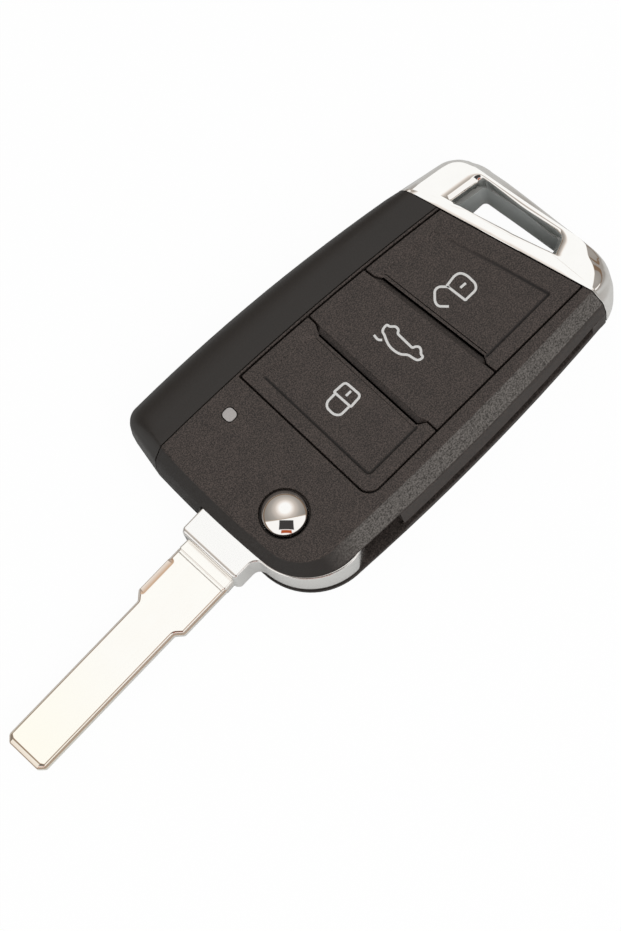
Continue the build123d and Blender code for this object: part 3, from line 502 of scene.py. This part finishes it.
def ringEndSurface(look):
    # closed surface round the key-ring hole: spokes leave the hole's middle in every direction, and along each one
    # the rows run up the side, over the shoulder, collar, sloping top and lip, down the hole's wall and back below
    count, levels, rowCount = look["columns"], look["levels"], look["rows"]
    # spokes are closer together where they meet the joint at a flat angle
    sample = np.linspace(0, 2 * math.pi, 4000)
    weight = 1 + sum(extra * np.exp(-((sample - at) / wide) ** 2) for at, wide, extra in look["closer"])
    share = np.concatenate([[0], np.cumsum(weight[1:])]) / weight[1:].sum()
    angles = np.interp(np.linspace(0, 1, count, endpoint=False), share, sample)
    slant = math.radians(look["slant"])
    normal = np.array([math.cos(slant), math.sin(slant)])
    spokes = np.column_stack([np.cos(angles), np.sin(angles)])
    centre = np.array(look["centre"])
    towards = np.where(spokes @ normal < -1e-6, spokes @ normal, -1e-6)
    toJoint = (look["jointX"] * normal[0] - centre @ normal) / towards
    heights = np.linspace(0, look["top"], levels)
    table = np.array([np.minimum(reach(look, angles, endOutline(look, h)), toJoint) for h in heights])
    atJoint = table[levels // 2] > toJoint - 1e-6

    def placeAt(distance):
        return centre + spokes * distance[:, None]

    def sideReach(height):
        # the side's reach in each direction at a height of its own, read between the levels of the table
        spot = np.clip(height / look["top"] * (levels - 1), 0, levels - 1.001)
        low = spot.astype(int)
        column = np.arange(count)
        return table[low, column] * (1 - spot + low) + table[low + 1, column] * (spot - low)

    def planeHeight(distance):
        # top of the ring: level with the case near the joint, then falling evenly away from it
        past = placeAt(distance) @ normal - look["jointX"] * normal[0] - look["planeStart"]
        return look["top"] - look["planeSlope"] * 0.5 * (past + np.sqrt(past * past + look["planeSoft"]))

    def backHeight(distance):
        # underside: flat, then rising evenly towards the far end
        return look["backSlope"] * np.maximum(0, placeAt(distance)[:, 0] - look["backStartX"])

    def crownHeight(distance):
        # top of the case near its left side: an elliptic fall over the crown's width
        x, y = placeAt(distance).T
        lineX, lineY, lineSlope = look["leftLine"]
        inside = lineY + (x - lineX) * lineSlope - y
        share = np.clip(1 - inside / (look["crownWidth"] * look["crownShare"]), 0, 0.98)
        return look["top"] - look["crownDrop"] * (1 - np.sqrt(1 - share * share))

    rows = []

    def addRow(distance, height):
        rows.append(np.column_stack([placeAt(distance), height]))

    def edgeReach(name):
        # reach of a closed outline with rounded corners
        loop = roundedLoop(look[name], look[name + "Corner"], steps=look["cornerSteps"])
        return reach(look, angles, np.concatenate([loop, loop[:1]]))

    hole = edgeReach("hole")
    lip = np.maximum(edgeReach("lip"), hole + look["holeToLip"])
    rim = np.minimum(reach(look, angles, softCurve(look["rim"])), toJoint - look["jointRound"])
    topEdge = np.where(atJoint, crownHeight(rim), planeHeight(rim))
    stretch, least, most = look["rimRound"]
    wide = sideReach(topEdge - look["rimProbe"]) - rim
    fall = np.where(atJoint, look["jointRound"], np.clip(stretch * wide, least, most))
    shoulder = sideReach(topEdge - fall)
    rim = np.minimum(rim, shoulder - look["rimToSide"])
    lip = np.minimum(lip, rim - look["lipToRim"])
    ridge = reach(look, angles, softCurve(look["ridge"]))
    ridge = np.clip(ridge, lip + look["lipToRidge"], rim - look["ridgeToRim"])
    for t in np.linspace(0, 1, rowCount["side"]):  # side, from the underside's bevel up to the shoulder
        low = backHeight(shoulder) + look["backBevel"]
        height = low + (topEdge - fall - low) * t
        addRow(sideReach(height), height)
    # shoulder: its drop is part even slope, less on the right side, and part a high power of the way out
    low, high, fromY, span, power = look["shoulder"]
    rimY = placeAt(rim)[:, 1]
    even = low + (high - low) * np.clip((rimY - fromY) / span, 0, 1)
    for t in (*np.linspace(1, 0.1, rowCount["shoulder"])[1:], 0.03, 0):
        addRow(rim + (shoulder - rim) * t, topEdge - fall * (even * t + (1 - even) * t**power))
    # collar: the crowned top at the rim turns into the ring's plane at the ridge by the square of the way there,
    # with a small bulge that fades where the collar is narrow and towards both ends of the joint
    narrow, firstFade, lastFade = look["bulgeFade"]
    first, last = look["jointEnds"]
    width = np.clip((rim - ridge) / narrow, 0, 1)
    width = width * np.clip((rimY - first) / firstFade, 0, 1) * np.clip((last - rimY) / lastFade, 0, 1)
    for t in supported(rowCount["collar"]):
        distance = rim + (ridge - rim) * t
        plane = planeHeight(distance)
        limit = topEdge + look["collarRise"] * (rim - distance)
        crowned = np.where(atJoint, np.minimum(crownHeight(distance), limit), plane)
        bulge = look["collarBulge"] * 4 * t * (1 - t) * width * atJoint
        addRow(distance, crowned + (plane - crowned) * t * t + bulge)
    for t in supported(rowCount["plane"]):  # ring plane
        distance = ridge + (lip - ridge) * t
        addRow(distance, planeHeight(distance))
    lipHeight = planeHeight(lip)
    lipDepth = np.clip((lip - hole) * look["lipSteep"], *look["lipDepth"])
    for t in np.linspace(0, math.pi / 2, rowCount["lip"])[1:]:  # rolled lip: a quarter of an ellipse
        addRow(hole + (lip - hole) * (1 - math.sin(t)), lipHeight - lipDepth * (1 - math.cos(t)))
    across, up = look["lowerLip"]
    under = backHeight(hole)
    wallTop = lipHeight - lipDepth
    wallRows = (len(rows) - 1, len(rows) - 2 + rowCount["wall"])
    for t in np.linspace(0, 1, rowCount["wall"])[1:]:  # wall of the hole
        addRow(hole, wallTop + (under + up - wallTop) * t)
    for t in np.linspace(0, math.pi / 2, rowCount["lowerLip"])[1:]:  # lower lip
        addRow(hole + across * (1 - math.cos(t)), under + up * (1 - math.sin(t)))
    outer = np.minimum(toJoint, reach(look, angles, endOutline(look, 0)) - look["backBevel"])
    inner = hole + across
    for t in np.linspace(0, 1, rowCount["back"])[1:]:  # underside
        distance = inner + (outer - inner) * t
        addRow(distance, np.maximum(backHeight(distance), 0))
    return np.concatenate(rows), gridFaces(len(rows), count, True), wallRows


points, faces, wallRows = ringEndSurface(ringEnd)
cap = makePiece("keyRingEnd", points, [face[::-1] for face in faces], chrome, "case", 50)
cap.data.materials.append(wallGrey)
faceRow = np.arange(len(faces)) // ringEnd["columns"]
onWall = (faceRow >= wallRows[0]) & (faceRow < wallRows[1])
cap.data.polygons.foreach_set("material_index", onWall.astype(np.int32))
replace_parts(cap, "chrome_cap")
print("key-ring end made", len(points))

# Push buttons

# For each key, a row for each corner going round: its place and radius at the foot, the same at the top of the
# side or at the edge of the sunk panel, whether the panel is open there, and how deep the groove is and how much
# painted shade it gets.
# A row of three stands for a plain corner: the same at the top, closed and without a groove
keyLook = {
    "bottom": 11.0, "top": 13.3, "round": 0.13, "sunk": 13.08, "groove": 0.12, "slope": 0.2, "slopeFoot": 12.8,
    "lip": 0.28, "lipTop": 11.3, "lipEnd": 12.0,  # the lip's width and height, and which corners have it, by x
    # sideDarks: painted shade on the middle key's slopes, foot to top
    "sideDarks": (0, 0, 0.6, 0.35, 0.3, 0.25, 0.15, 0.1, 0),  # darkness of the middle key's slopes, foot to top
    "lock_button": [
        (11.97, -8.28, 2.23, 14.4, -5.75, 0.9, 0, 1), (27.878, -8.28, 0.15, 26.0, -5.75, 0.05, 0, 1),
        (27.878, -6.2, 0.3, 26.3, -5.6, 0.05, 0, 1), (26.5, -5.2, 0.3, 26.5, -5.2, 0.05, 1, 0),
        (26.33, 18.2, 0.3, 26.33, 18.2, 0.05, 1, 0), (27.3, 19.9, 0.3, 26.1, 18.75, 0.05, 0, 0.3),
        (27.3, 21.79, 0.2, 25.8, 18.85, 0.05, 0, 0), (19.65, 22.25, 30, 20.1, 19.6, 5, 0, 0),
        (11.97, 22.59, 0.3, 14.4, 20.25, 0.3, 0, 0.1), (11.97, 19.0, 0.05, 14.4, 19.4, 0.05, 0, 1),
    ],
    "unlock_button": [
        (42.44, -8.28, 0.15, 43.35, -5.55, 0.05, 0, 1), (63.203, -8.28, 0.15, 58.8, -5.5, 0.35, 0, 1),
        (59.96, 5.32, 20, 56.7, 4.0, 10, 0, 0.8), (56.723, 18.92, 0.15, 53.4, 16.9, 0.6, 0, 0),
        (48.5, 19.9, 30, 47.6, 17.75, 10, 0, 0), (40.264, 20.742, 0.3, 41.75, 18.25, 0.05, 0, 0),
        (40.42, 18.75, 0.3, 41.5, 18.1, 0.05, 0, 0.3), (41.2, 17.5, 0.3, 41.2, 17.5, 0.05, 1, 0),
        (42.98, -5.05, 0.3, 42.98, -5.05, 0.05, 1, 0), (42.3, -6.2, 0.3, 43.05, -5.4, 0.05, 0, 1),
    ],
    "trunk_button": [
        (28.218, -8.28, 0.15), (42.1, -8.28, 0.15), (41.95, -6.3, 0.3), (42.75, -5.2, 0.3, 41.8, -5.7, 0.4, 0, 1),
        (41.0, 17.3, 0.3, 40.2, 18.1, 0.4, 0, 1), (40.08, 18.9, 0.3), (39.921, 20.774, 0.3), (33.8, 21.305, 30),
        (27.668, 21.764, 0.3), (27.66, 20.1, 0.3), (26.6, 18.5, 0.3, 27.5, 18.9, 0.4, 0, 1),
        (26.77, -5.0, 0.3, 27.65, -4.9, 0.4, 0, 1), (28.218, -6.1, 0.3),
    ],
}


def keyPiece(look, name):
    # key with a rounded top edge. The outer keys dip into a groove and come back up to a sunk panel that runs out to
    # the middle key, and a low lip closes the gap at the blade's end; the middle key's two long sides slope down
    # under its neighbours' panels
    table = np.array([row if len(row) > 3 else (*row, *row, 0, 0) for row in look[name]], float)
    foot, footRadii, head, headRadii = table[:, :2], table[:, 2], table[:, 3:5], table[:, 5]
    isOpen, dark = table[:, 6], table[:, 7]
    edge, bottom, top, sunk = look["round"], look["bottom"], look["top"], look["sunk"]
    quarter = np.linspace(0, math.pi / 2, 6)
    if name == "trunk_button":
        profile = [(0.1, bottom), (0, bottom + 0.1), (0, look["slopeFoot"])]
        profile += [(edge * (1 - math.cos(t)), top - edge * (1 - math.sin(t)), head, headRadii) for t in quarter]
        darks = [dark * share for share in look["sideDarks"]]
    else:
        rimHeight = np.where(isOpen > 0, sunk, top)
        lip = foot - np.array([look["lip"], 0]) * (foot[:, :1] < look["lipEnd"])
        profile = [(0.05, bottom, lip, footRadii), (0, bottom + 0.05, lip, footRadii)]
        profile += [(0, look["lipTop"], lip, footRadii), (0, look["lipTop"] + 0.05)]
        profile += [(edge * (1 - math.cos(t)), rimHeight - edge * (1 - math.sin(t))) for t in quarter]
        darks = [0 * dark] * len(profile)
        slope, low = look["slope"], sunk - look["groove"]
        # from the raised rim down through the groove to the panel: inset, height where there is no groove, height
        # where it is deepest, strength of the painted shade
        for inset, bare, grooved, shade in (
            (-0.16, top, top, 0), (-0.08, top - 0.012, top - 0.012, 0.1), (0, top - 0.04, top - 0.06, 0.5),
            (slope, sunk + 0.03, low + 0.02, 1), (slope + 0.1, sunk + 0.01, low, 1),
            (slope + 0.2, sunk, low + 0.03, 0.7), (slope + 0.36, sunk, sunk - 0.012, 0.2),
            (slope + 0.46, sunk, sunk, 0),
        ):
            height = np.where(isOpen > 0, sunk, bare + (grooved - bare) * dark)
            profile.append((inset, height, head, headRadii))
            darks.append(shade * dark)
    points, faces = stackLoops(foot, footRadii, profile)
    piece = makePiece(name.replace("_button", "Key"), points, faces, keyBlack, name, 40)
    # the points' groove numbers: painted shade in the grooves and on the middle key's slopes
    addShades(piece, "groove", np.repeat(np.concatenate([darks[0], *darks, darks[-1]]), arcPoints))
    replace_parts(piece, name)


keyNames = ("lock_button", "trunk_button", "unlock_button")
for name in keyNames:
    keyPiece(keyLook, name)
print("keys made")

# Pictograms

# For each key, its strokes: whether the line closes on itself, and its corners with the radius of each
pictograms = {
    "stroke": 0.46,  # width; the section is across in shares of it, and up from the key's face in millimetres
    "section": [(-0.5, -0.02), (-0.46, 0.024), (-0.3, 0.03), (0.3, 0.03), (0.46, 0.024), (0.5, -0.02)],
    "lock_button": [
        (True, [(20.92, 9.1, 0.25), (23.5, 8.95, 0.7), (23.62, 5.32, 0.7), (21.02, 5.14, 0.25)]),
        (False, [(20.75, 8.75, 0), (18.84, 8.71, 0.8), (18.1, 8.0, 0.8), (18.06, 6.3, 1.0), (18.75, 5.38, 0.8),
                 (20.79, 5.38, 0)]),
        (False, [(21.82, 7.13, 0), (22.4, 7.12, 0.1), (23.03, 7.11, 0)]),
    ],
    "unlock_button": [
        (True, [(47.65, 8.47, 0.15), (49.93, 8.80, 1.0), (50.9, 8.45, 1.0), (51.38, 7.3, 1.2), (51.3, 5.15, 1.2),
                (50.6, 4.32, 0.9), (47.96, 4.35, 0.12)]),
        (False, [(47.86, 7.95, 0), (46.62, 9.37, 0.5), (45.65, 9.42, 0.6), (44.2, 7.95, 0.9), (44.0, 6.95, 0.7),
                 (45.24, 5.6, 0)]),
        (False, [(48.97, 6.53, 0), (49.6, 6.48, 0.1), (50.22, 6.44, 0)]),
    ],
    "trunk_button": [
        (True, [(35.65, 10.95, 0.3), (35.66, 10.42, 0.3), (36.43, 9.6, 0.3), (36.33, 8.84, 0.3), (35.71, 8.48, 0.3),
                (35.61, 4.84, 0.3), (36.22, 4.65, 0.3), (36.6, 4.09, 0.3), (36.3, 3.41, 0.3), (35.82, 3.06, 0.3),
                (35.74, 2.41, 0.3), (35.24, 2.37, 0.3), (34.63, 2.68, 0.3), (34.42, 3.4, 0.5), (34.26, 4.56, 0.5),
                (33.49, 5.38, 0.6), (33.15, 6.47, 0.6), (33.13, 7.92, 0.8), (33.59, 9.17, 0.8), (34.02, 9.98, 0.5),
                (34.19, 10.68, 0.4), (34.87, 10.97, 0.4)]),
        (False, [(32.78, 11.25, 0), (32.6, 10.19, 0.5), (33.1, 9.6, 0)]),
    ],
}


def softLine(corners, loops, steps=7, most=0.48):
    # line whose corners are cut by curves that start the corner's radius away from it, or the share most of the
    # shorter side where that is less
    corners = np.asarray(corners, float)
    points, radius = corners[:, :2], corners[:, 2:]
    toBack = np.roll(points, 1, 0) - points
    toNext = np.roll(points, -1, 0) - points
    sizes = [np.linalg.norm(way, axis=1)[:, None] for way in (toBack, toNext)]
    trim = np.minimum(radius, np.minimum(*sizes) * most)
    first = points + toBack / sizes[0] * trim
    last = points + toNext / sizes[1] * trim
    t = np.linspace(0, 1, steps)[None, :, None]
    bend = first[:, None] * (1 - t) ** 2 + 2 * points[:, None] * t * (1 - t) + last[:, None] * t**2
    if loops:
        return bend.reshape(-1, 2)
    return np.concatenate([points[:1], bend[1:-1].reshape(-1, 2), points[-1:]])


def strokePoints(look, line, loops, face):
    # flat raised section carried along a line: outer foot, shoulders, inner foot
    if loops:
        along = np.roll(line, -1, 0) - np.roll(line, 1, 0)
    else:
        along = np.gradient(line, axis=0)
    along /= np.linalg.norm(along, axis=1)[:, None]
    across = along[:, ::-1] * (-1, 1)
    section = np.array(look["section"])
    place = line[:, None, :] + across[:, None, :] * section[None, :, :1] * look["stroke"]
    height = np.broadcast_to(face + section[:, 1], place.shape[:2])
    return np.concatenate([place, height[..., None]], -1)


def addPictograms(look):
    # strokes of each pictogram as one mesh on its key
    for key in keyNames:
        height = keyLook["top"] if key == "trunk_button" else keyLook["sunk"]
        points, faces = [], []
        for loops, corners in look[key]:
            strip = strokePoints(look, softLine(corners, loops), loops, height)
            rows, columns = strip.shape[:2]
            base = sum(len(item) for item in points)
            grid = gridFaces(rows, columns, True) if loops else stackFaces(rows, columns)
            faces += [[base + spot for spot in face] for face in grid]
            points.append(strip.reshape(-1, 3))
        sign = makePiece(key.replace("_button", "Sign"), np.concatenate(points), faces, printGrey, key, 60)
        build = bmesh.new()
        build.from_mesh(sign.data)
        bmesh.ops.recalc_face_normals(build, faces=build.faces)
        build.to_mesh(sign.data)
        build.free()


addPictograms(pictograms)
print("pictograms laid on the keys")

# Status light window

lightWindow = {"x": 5.8, "y": 19.2, "size": 2.2, "corner": 0.8, "top": 13.29, "bottom": 8.0, "crown": 0.06}


def lightWindowPiece(look):
    # square light pipe with round corners; its top falls by the square of the way out from the middle
    half = look["size"] / 2
    corners = [(look["x"] + sx * half, look["y"] + sy * half) for sx, sy in ((-1, -1), (1, -1), (1, 1), (-1, 1))]
    crown = [(half * t, look["top"] - look["crown"] * (1 - t) ** 2) for t in np.linspace(0, 0.8, 9)]
    profile = [(0.3, look["bottom"]), (0, look["bottom"] + 0.2), (0, look["top"] - look["crown"] - 0.1)] + crown
    return stackLoops(corners, look["corner"], profile)


points, faces = lightWindowPiece(lightWindow)
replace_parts(makePiece("lightWindow", points, faces, windowGrey, "case"), "led_window")

# Release button

domeLook = {
    "radius": 3.95, "base": 13.65, "rise": 1.85, "capShare": 0.955, "rim": 0.22, "rimFall": 0.12,
    "flangeTop": 7.9, "flangeBottom": 7.0, "flange": 4.6, "bore": 3.0, "boreTop": 12.1, "steps": 160,
}


def releaseProfile(look):
    # section of the push dome: part of a sphere, a rim that turns down, the stem with its flange, and the bore
    radius, rise = look["radius"], look["rise"]
    sphere = (radius**2 + rise**2) / (2 * rise)
    top = look["base"] + rise
    limit = math.asin(radius / sphere)
    swing = np.linspace(0.004, limit * look["capShare"], 40)
    cap = [(sphere * math.sin(a), top - sphere * (1 - math.cos(a))) for a in swing]
    out, up = cap[-1]
    rim = [(out + (radius - out) * math.sin(t), up - look["rim"] * (1 - math.cos(t)) - look["rimFall"] * t)
           for t in np.linspace(0, math.pi / 2, 8)[1:]]
    flange, bore, low = look["flange"], look["bore"], look["flangeBottom"]
    stem = [(radius, look["flangeTop"]), (flange, look["flangeTop"]), (flange, low), (bore, low),
            (bore, look["boreTop"]), (0.02, look["boreTop"])]
    return (cap + rim + stem)[::-1]


points, faces = revolved(releaseProfile(domeLook), domeLook["steps"])
dome = makePiece("releaseDome", points, faces, chrome, "release_button")
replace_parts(dome, "release_button")
print("release dome made")

# Blade and its head

bladeLook = {
    "neck": -13.1, "y": 5.75, "collar": -15.8, "rootEnd": -25.8, "tip": -59.3, "rootHalf": 5.65, "half": 4.425,
    "step": 1.225, "tipCut": 1.1, "bottom": 2.9, "top": 5.5, "bevel": 0.52, "soft": 0.15, "play": 1.4,
    "facet": (-18.3, -25.3), "facetJog": 0.25, "tipWide": 0.5,
    "radii": (0.1, 0.8, 0.05, 0.05, 0.05, 0.05, 0.7, 0.9, 0.5, 0.5, 0.5, 0.9, 0.7, 0.8, 0.1),
    # painted reflection: brownness of each loop of the bevels
    "edgeReflection": (0, 0, 0, 0, 0, 0, 0, 0, 0, 0.5, 1, 0.35, 0.15, 0.9, 0, 0),  # brownness, one for each loop
    "cornersCollar": [(-13.0, 11.2), (-15.75, 11.3), (-15.75, 0.2), (-13.0, 0.3)],
    "levelsCollar": [(0.25, 2.7), (0.05, 2.76), (0, 2.9), (0, 5.42), (0.05, 5.5), (0.22, 5.67), (0.3, 5.7)],
    "cornersRib": [(-16.0, 11.1), (-16.26, 11.1), (-16.26, 0.4), (-16.0, 0.4)],
    "levelsRib": [(0, 5.3), (0, 5.5), (0.05, 5.56), (0.1, 5.57)],
}


def bladeCorners(look, facet=0.0, tipIn=0.0):
    # outline of the blade from the neck out to the tip and back, counter-clockwise; facet moves the root's left
    # edge in, tipIn the tip's edge
    neck, root, tip, y = look["neck"], look["rootEnd"], look["tip"], look["y"]
    half, wide, step, cut = look["half"], look["rootHalf"], look["step"], look["tipCut"]
    first, last = look["facet"]
    jog = look["facetJog"]
    upper = [(neck, y + wide - 0.2), (look["collar"], y + wide), (first + jog, y + wide), (first, y + wide - facet),
             (last, y + wide - facet), (last - jog, y + wide), (root - step, y + half), (tip + cut, y + half)]
    lower = [(neck, y - wide + 0.2), (look["collar"], y - wide), (root, y - wide), (root - step, y - half),
             (tip + cut, y - half)]
    return upper + [(tip + tipIn, y + half - cut), (tip + tipIn, y - half + cut)] + lower[::-1]


def bladeProfile(look):
    # levels from the underside to the top: flat, bevel and side with soft changes between them; along the root's
    # left edge the upper bevel is a wider, flatter facet, and at the tip it is wider. Each level of the upper half:
    # inset, drop below the top, how far the facet's edge moves in, its drop, share of the wider tip
    bevel, soft, top = look["bevel"], look["soft"], look["top"]
    upper = [(0, bevel + 2 * soft, 0, bevel + 2 * soft, 0), (0.15 * soft, bevel + soft, 0, bevel, 0),
             (0.5 * soft, bevel + 0.2 * soft, 0, 0.42, 0), (1.2 * soft, bevel - 1.2 * soft, 0, 0.30, 0),
             (bevel - 0.7 * soft, 0.7 * soft, -0.22, 0.22, 0.9), (bevel, 0.15 * soft, 0.70, 0.03, 1),
             (bevel + 0.7 * soft, 0, 0.78, 0, 1)]
    levels = [(inset, look["bottom"] + drop) for inset, drop, *rest in upper[::-1]]
    for inset, drop, facet, facetDrop, tipShare in upper:
        corners = bladeCorners(look, facet, look["tipWide"] * tipShare)
        heights = np.full(len(corners), top - drop)
        heights[3:5] = top - facetDrop
        levels.append((inset, heights, corners, look["radii"]))
    return levels


points, faces = stackLoops(bladeCorners(bladeLook), bladeLook["radii"], bladeProfile(bladeLook))
blade = makePiece("bladeBlank", turned(points, bladeLook["play"]), faces, nickel, "blade", 60)
addShades(blade, "edge", np.repeat(bladeLook["edgeReflection"], len(points) // len(bladeLook["edgeReflection"])))
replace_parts(blade, "blade")
for name, radius, smoothAngle in (("Collar", 0.5, 50), ("Rib", 0.1, 60)):
    points, faces = stackLoops(bladeLook["corners" + name], radius, bladeLook["levels" + name])
    makePiece("blade" + name, turned(points, bladeLook["play"]), faces, nickel, "blade", smoothAngle)
roundedCopy("blade_head", "bladeHead", satinZinc, "blade", 0.4)
print("blade made")

# Inner parts

innerParts = [
    (plainSteel, ("roll_pin", "flip_spring", "case_screw")), (springBrass, ("negative_contact", "positive_contact")),
    (tinnedCan, ("lock_switch", "trunk_switch", "unlock_switch", "crystal", "coin_cell")),
    (chipBlack, ("controller_chip", "antenna_coil", "transponder_chip")),
    (mattRubber, ("button_mat",)), (boardGreen, ("circuit_board",)), (paleResin, ("status_led",)),
]
for finish, names in innerParts:
    for name in names:
        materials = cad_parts[name].data.materials
        materials.clear()
        materials.append(finish)
print("inner parts finished")

# Table, light and camera

# The camera is placed by the photograph: its right, up and back directions, its place and its focal length
viewPlace = {
    "right": (0.7054097, -0.7017129, -0.0999806), "up": (0.6973930, 0.6619138, 0.2747965),
    "back": (-0.1266497, -0.2635699, 0.9562901), "place": (-55.1247665, -130.6424709, 497.2396751),
    "focalPixels": 3000, "longSide": 931,
}

studio = {
    # table: metres, how much of its white the camera sees as light, and how it darkens when mirrored
    "floorDrop": 0.00002, "floorSize": 1.6, "floorGlow": 0.965, "floorTone": (0.74, 0.74, 0.7252),
    "floorMiddle": (0.005, 0.01, 0), "floorFade": (0.067, 0.04), "floorFar": (0.37, 0.34, 0.31),
    "ambient": 0.58, "key": 4.2, "keySize": 0.8, "keyPlace": (-0.10, -0.65, 0.75), "keyAim": (0.02, 0.01, 0),
    # room: directions from the key, and patches as across, up, half width, half height about the camera's direction
    "fade": 0.03, "skyMiddle": (0.30, 0.27, 0.915),
    "sky": [(0.50, (0.24, 0.22, 0.20)), (0.65, (0.27, 0.25, 0.23)), (0.80, (0.38, 0.35, 0.32)),
            (0.90, (0.60, 0.54, 0.49)), (0.945, (0.86, 0.80, 0.75)), (0.972, (1.0, 1.0, 0.99))],
    "sheetSide": (0.56, 0.763, 0.306), "sheet": (0.98, 0.965, 0.95), "seam": (0.42, 0.34, 0.27), "seamWidth": 0.05,
    "horizon": (-0.06, 0.11), "horizonTone": (0.20, 0.135, 0.09),
    "camera": (0.02, -0.40, 0.46, 0.29), "cameraTone": (0.05, 0.046, 0.046),
    "glow": (0.02, -0.775, 0.32, 0.085), "glowTone": (0.42, 0.085, 0.025),
}


def floorFinish(look):
    # pale table that the camera sees as white where nothing shades it; mirrored, it darkens away from the key
    made = Finish("paleTable")
    seen = made.ray("Camera")
    between = {0: made.place, 1: look["floorMiddle"]}
    away = made.node("VectorMath", {"operation": "DISTANCE"}, between, output="Value")
    far = made.ray("Glossy") * made.rising(away, *look["floorFade"])
    paint = made.blend(seen, made.blend(far, look["floorTone"], look["floorFar"]), (1, 1, 1))
    made.use(paint, 0.85 + made.noise(0.4) * 0.1)
    glow = made.node("Emission", values={"Color": (1, 1, 1), "Strength": 1.0})
    solid = Flow(made.tree, made.shader.outputs[0])
    mixed = made.node("MixShader", values={0: seen * look["floorGlow"], 1: solid, 2: glow})
    feed(made.tree, made.tree.nodes["Material Output"].inputs["Surface"], mixed)
    return made.material


floorMesh = bpy.data.meshes.new("table")
half, drop = studio["floorSize"], studio["floorDrop"]
floorCorners = [(x * half, y * half, -drop) for x, y in ((-1, -1), (1, -1), (1, 1), (-1, 1))]
floorMesh.from_pydata(floorCorners, [], [[0, 1, 2, 3]])
table = placed("table", floorMesh)
floorMesh.materials.append(floorFinish(studio))

world = bpy.data.worlds.new("softRoom")
bpy.context.scene.world = world
world.use_nodes = True
room = NodeSheet(world.node_tree)
back = room.tree.nodes["Background"]
lookedAt = room.node("TexCoord", output="Generated")


def roomAlong(direction):
    # how far the looked-at direction goes along another one
    return room.node("VectorMath", {"operation": "DOT_PRODUCT"}, {0: lookedAt, 1: direction}, output="Value")


def roomShare(value):
    # 0 to 1 over the soft width of the room's edges
    return room.within(value / studio["fade"])


def roomPatch(patch, across, upward, ahead):
    # soft-edged rectangle around the camera's own direction: 1 inside, 0 outside
    x, y, halfWidth, halfHeight = patch
    wide = roomShare(halfWidth - across.sum("ABSOLUTE", across - x))
    high = roomShare(halfHeight - upward.sum("ABSOLUTE", upward - y))
    return wide * high * room.within(ahead / 0.05)


# What shiny parts mirror: a bright sky above that is greyer to the back, a pale sheet on the viewer's side beyond
# a brown seam, the dark camera and a small warm lamp in front of the sheet, and a dark line where the table ends
mirrored = room.node("ValToRGB", {"stops": studio["sky"]}, {0: roomAlong(studio["skyMiddle"]) * 0.5 + 0.5})
sheetSide = roomAlong(studio["sheetSide"])
mirrored = room.blend(roomShare(studio["seamWidth"] - sheetSide), mirrored, studio["seam"])
mirrored = room.blend(roomShare(0 - sheetSide), mirrored, studio["sheet"])
viewWays = [roomAlong(viewPlace[name]) for name in ("right", "up", "back")]
for name in ("camera", "glow"):
    mirrored = room.blend(roomPatch(studio[name], *viewWays), mirrored, studio[name + "Tone"])
height = roomAlong((0, 0, 1))
low, high = studio["horizon"]
mirrored = room.blend(roomShare(height - low) * roomShare(high - height), mirrored, studio["horizonTone"])
shown = room.blend(room.ray("Glossy"), (1, 1, 1), mirrored)
seenRay = room.within(room.ray("Camera") + room.ray("Glossy") + room.ray("Transmission"))
feed(room.tree, back.inputs["Color"], shown)
feed(room.tree, back.inputs["Strength"], seenRay + (1 - seenRay) * studio["ambient"])

keyData = bpy.data.lights.new("softKey", "AREA")
keyData.energy = studio["key"]
keyData.size = studio["keySize"]
keyLamp = placed("softKey", keyData)
keyLamp.visible_glossy = False
keyLamp.location = studio["keyPlace"]
keyAim = Vector(studio["keyAim"]) - Vector(studio["keyPlace"])
keyLamp.rotation_euler = keyAim.to_track_quat("-Z", "Y").to_euler()

cameraData = bpy.data.cameras.new("camera")
cameraData.sensor_width = 36
cameraData.lens = viewPlace["focalPixels"] * 36 / viewPlace["longSide"]
cameraData.clip_start = 0.01
camera = placed("camera", cameraData)
axes = Matrix([viewPlace[name] for name in ("right", "up", "back")]).transposed()
camera.matrix_world = Matrix.Translation(Vector(viewPlace["place"]) * mm) @ axes.to_4x4()
bpy.context.scene.camera = camera
bpy.context.scene.view_settings.view_transform = "Standard"
print("table, light and camera placed")
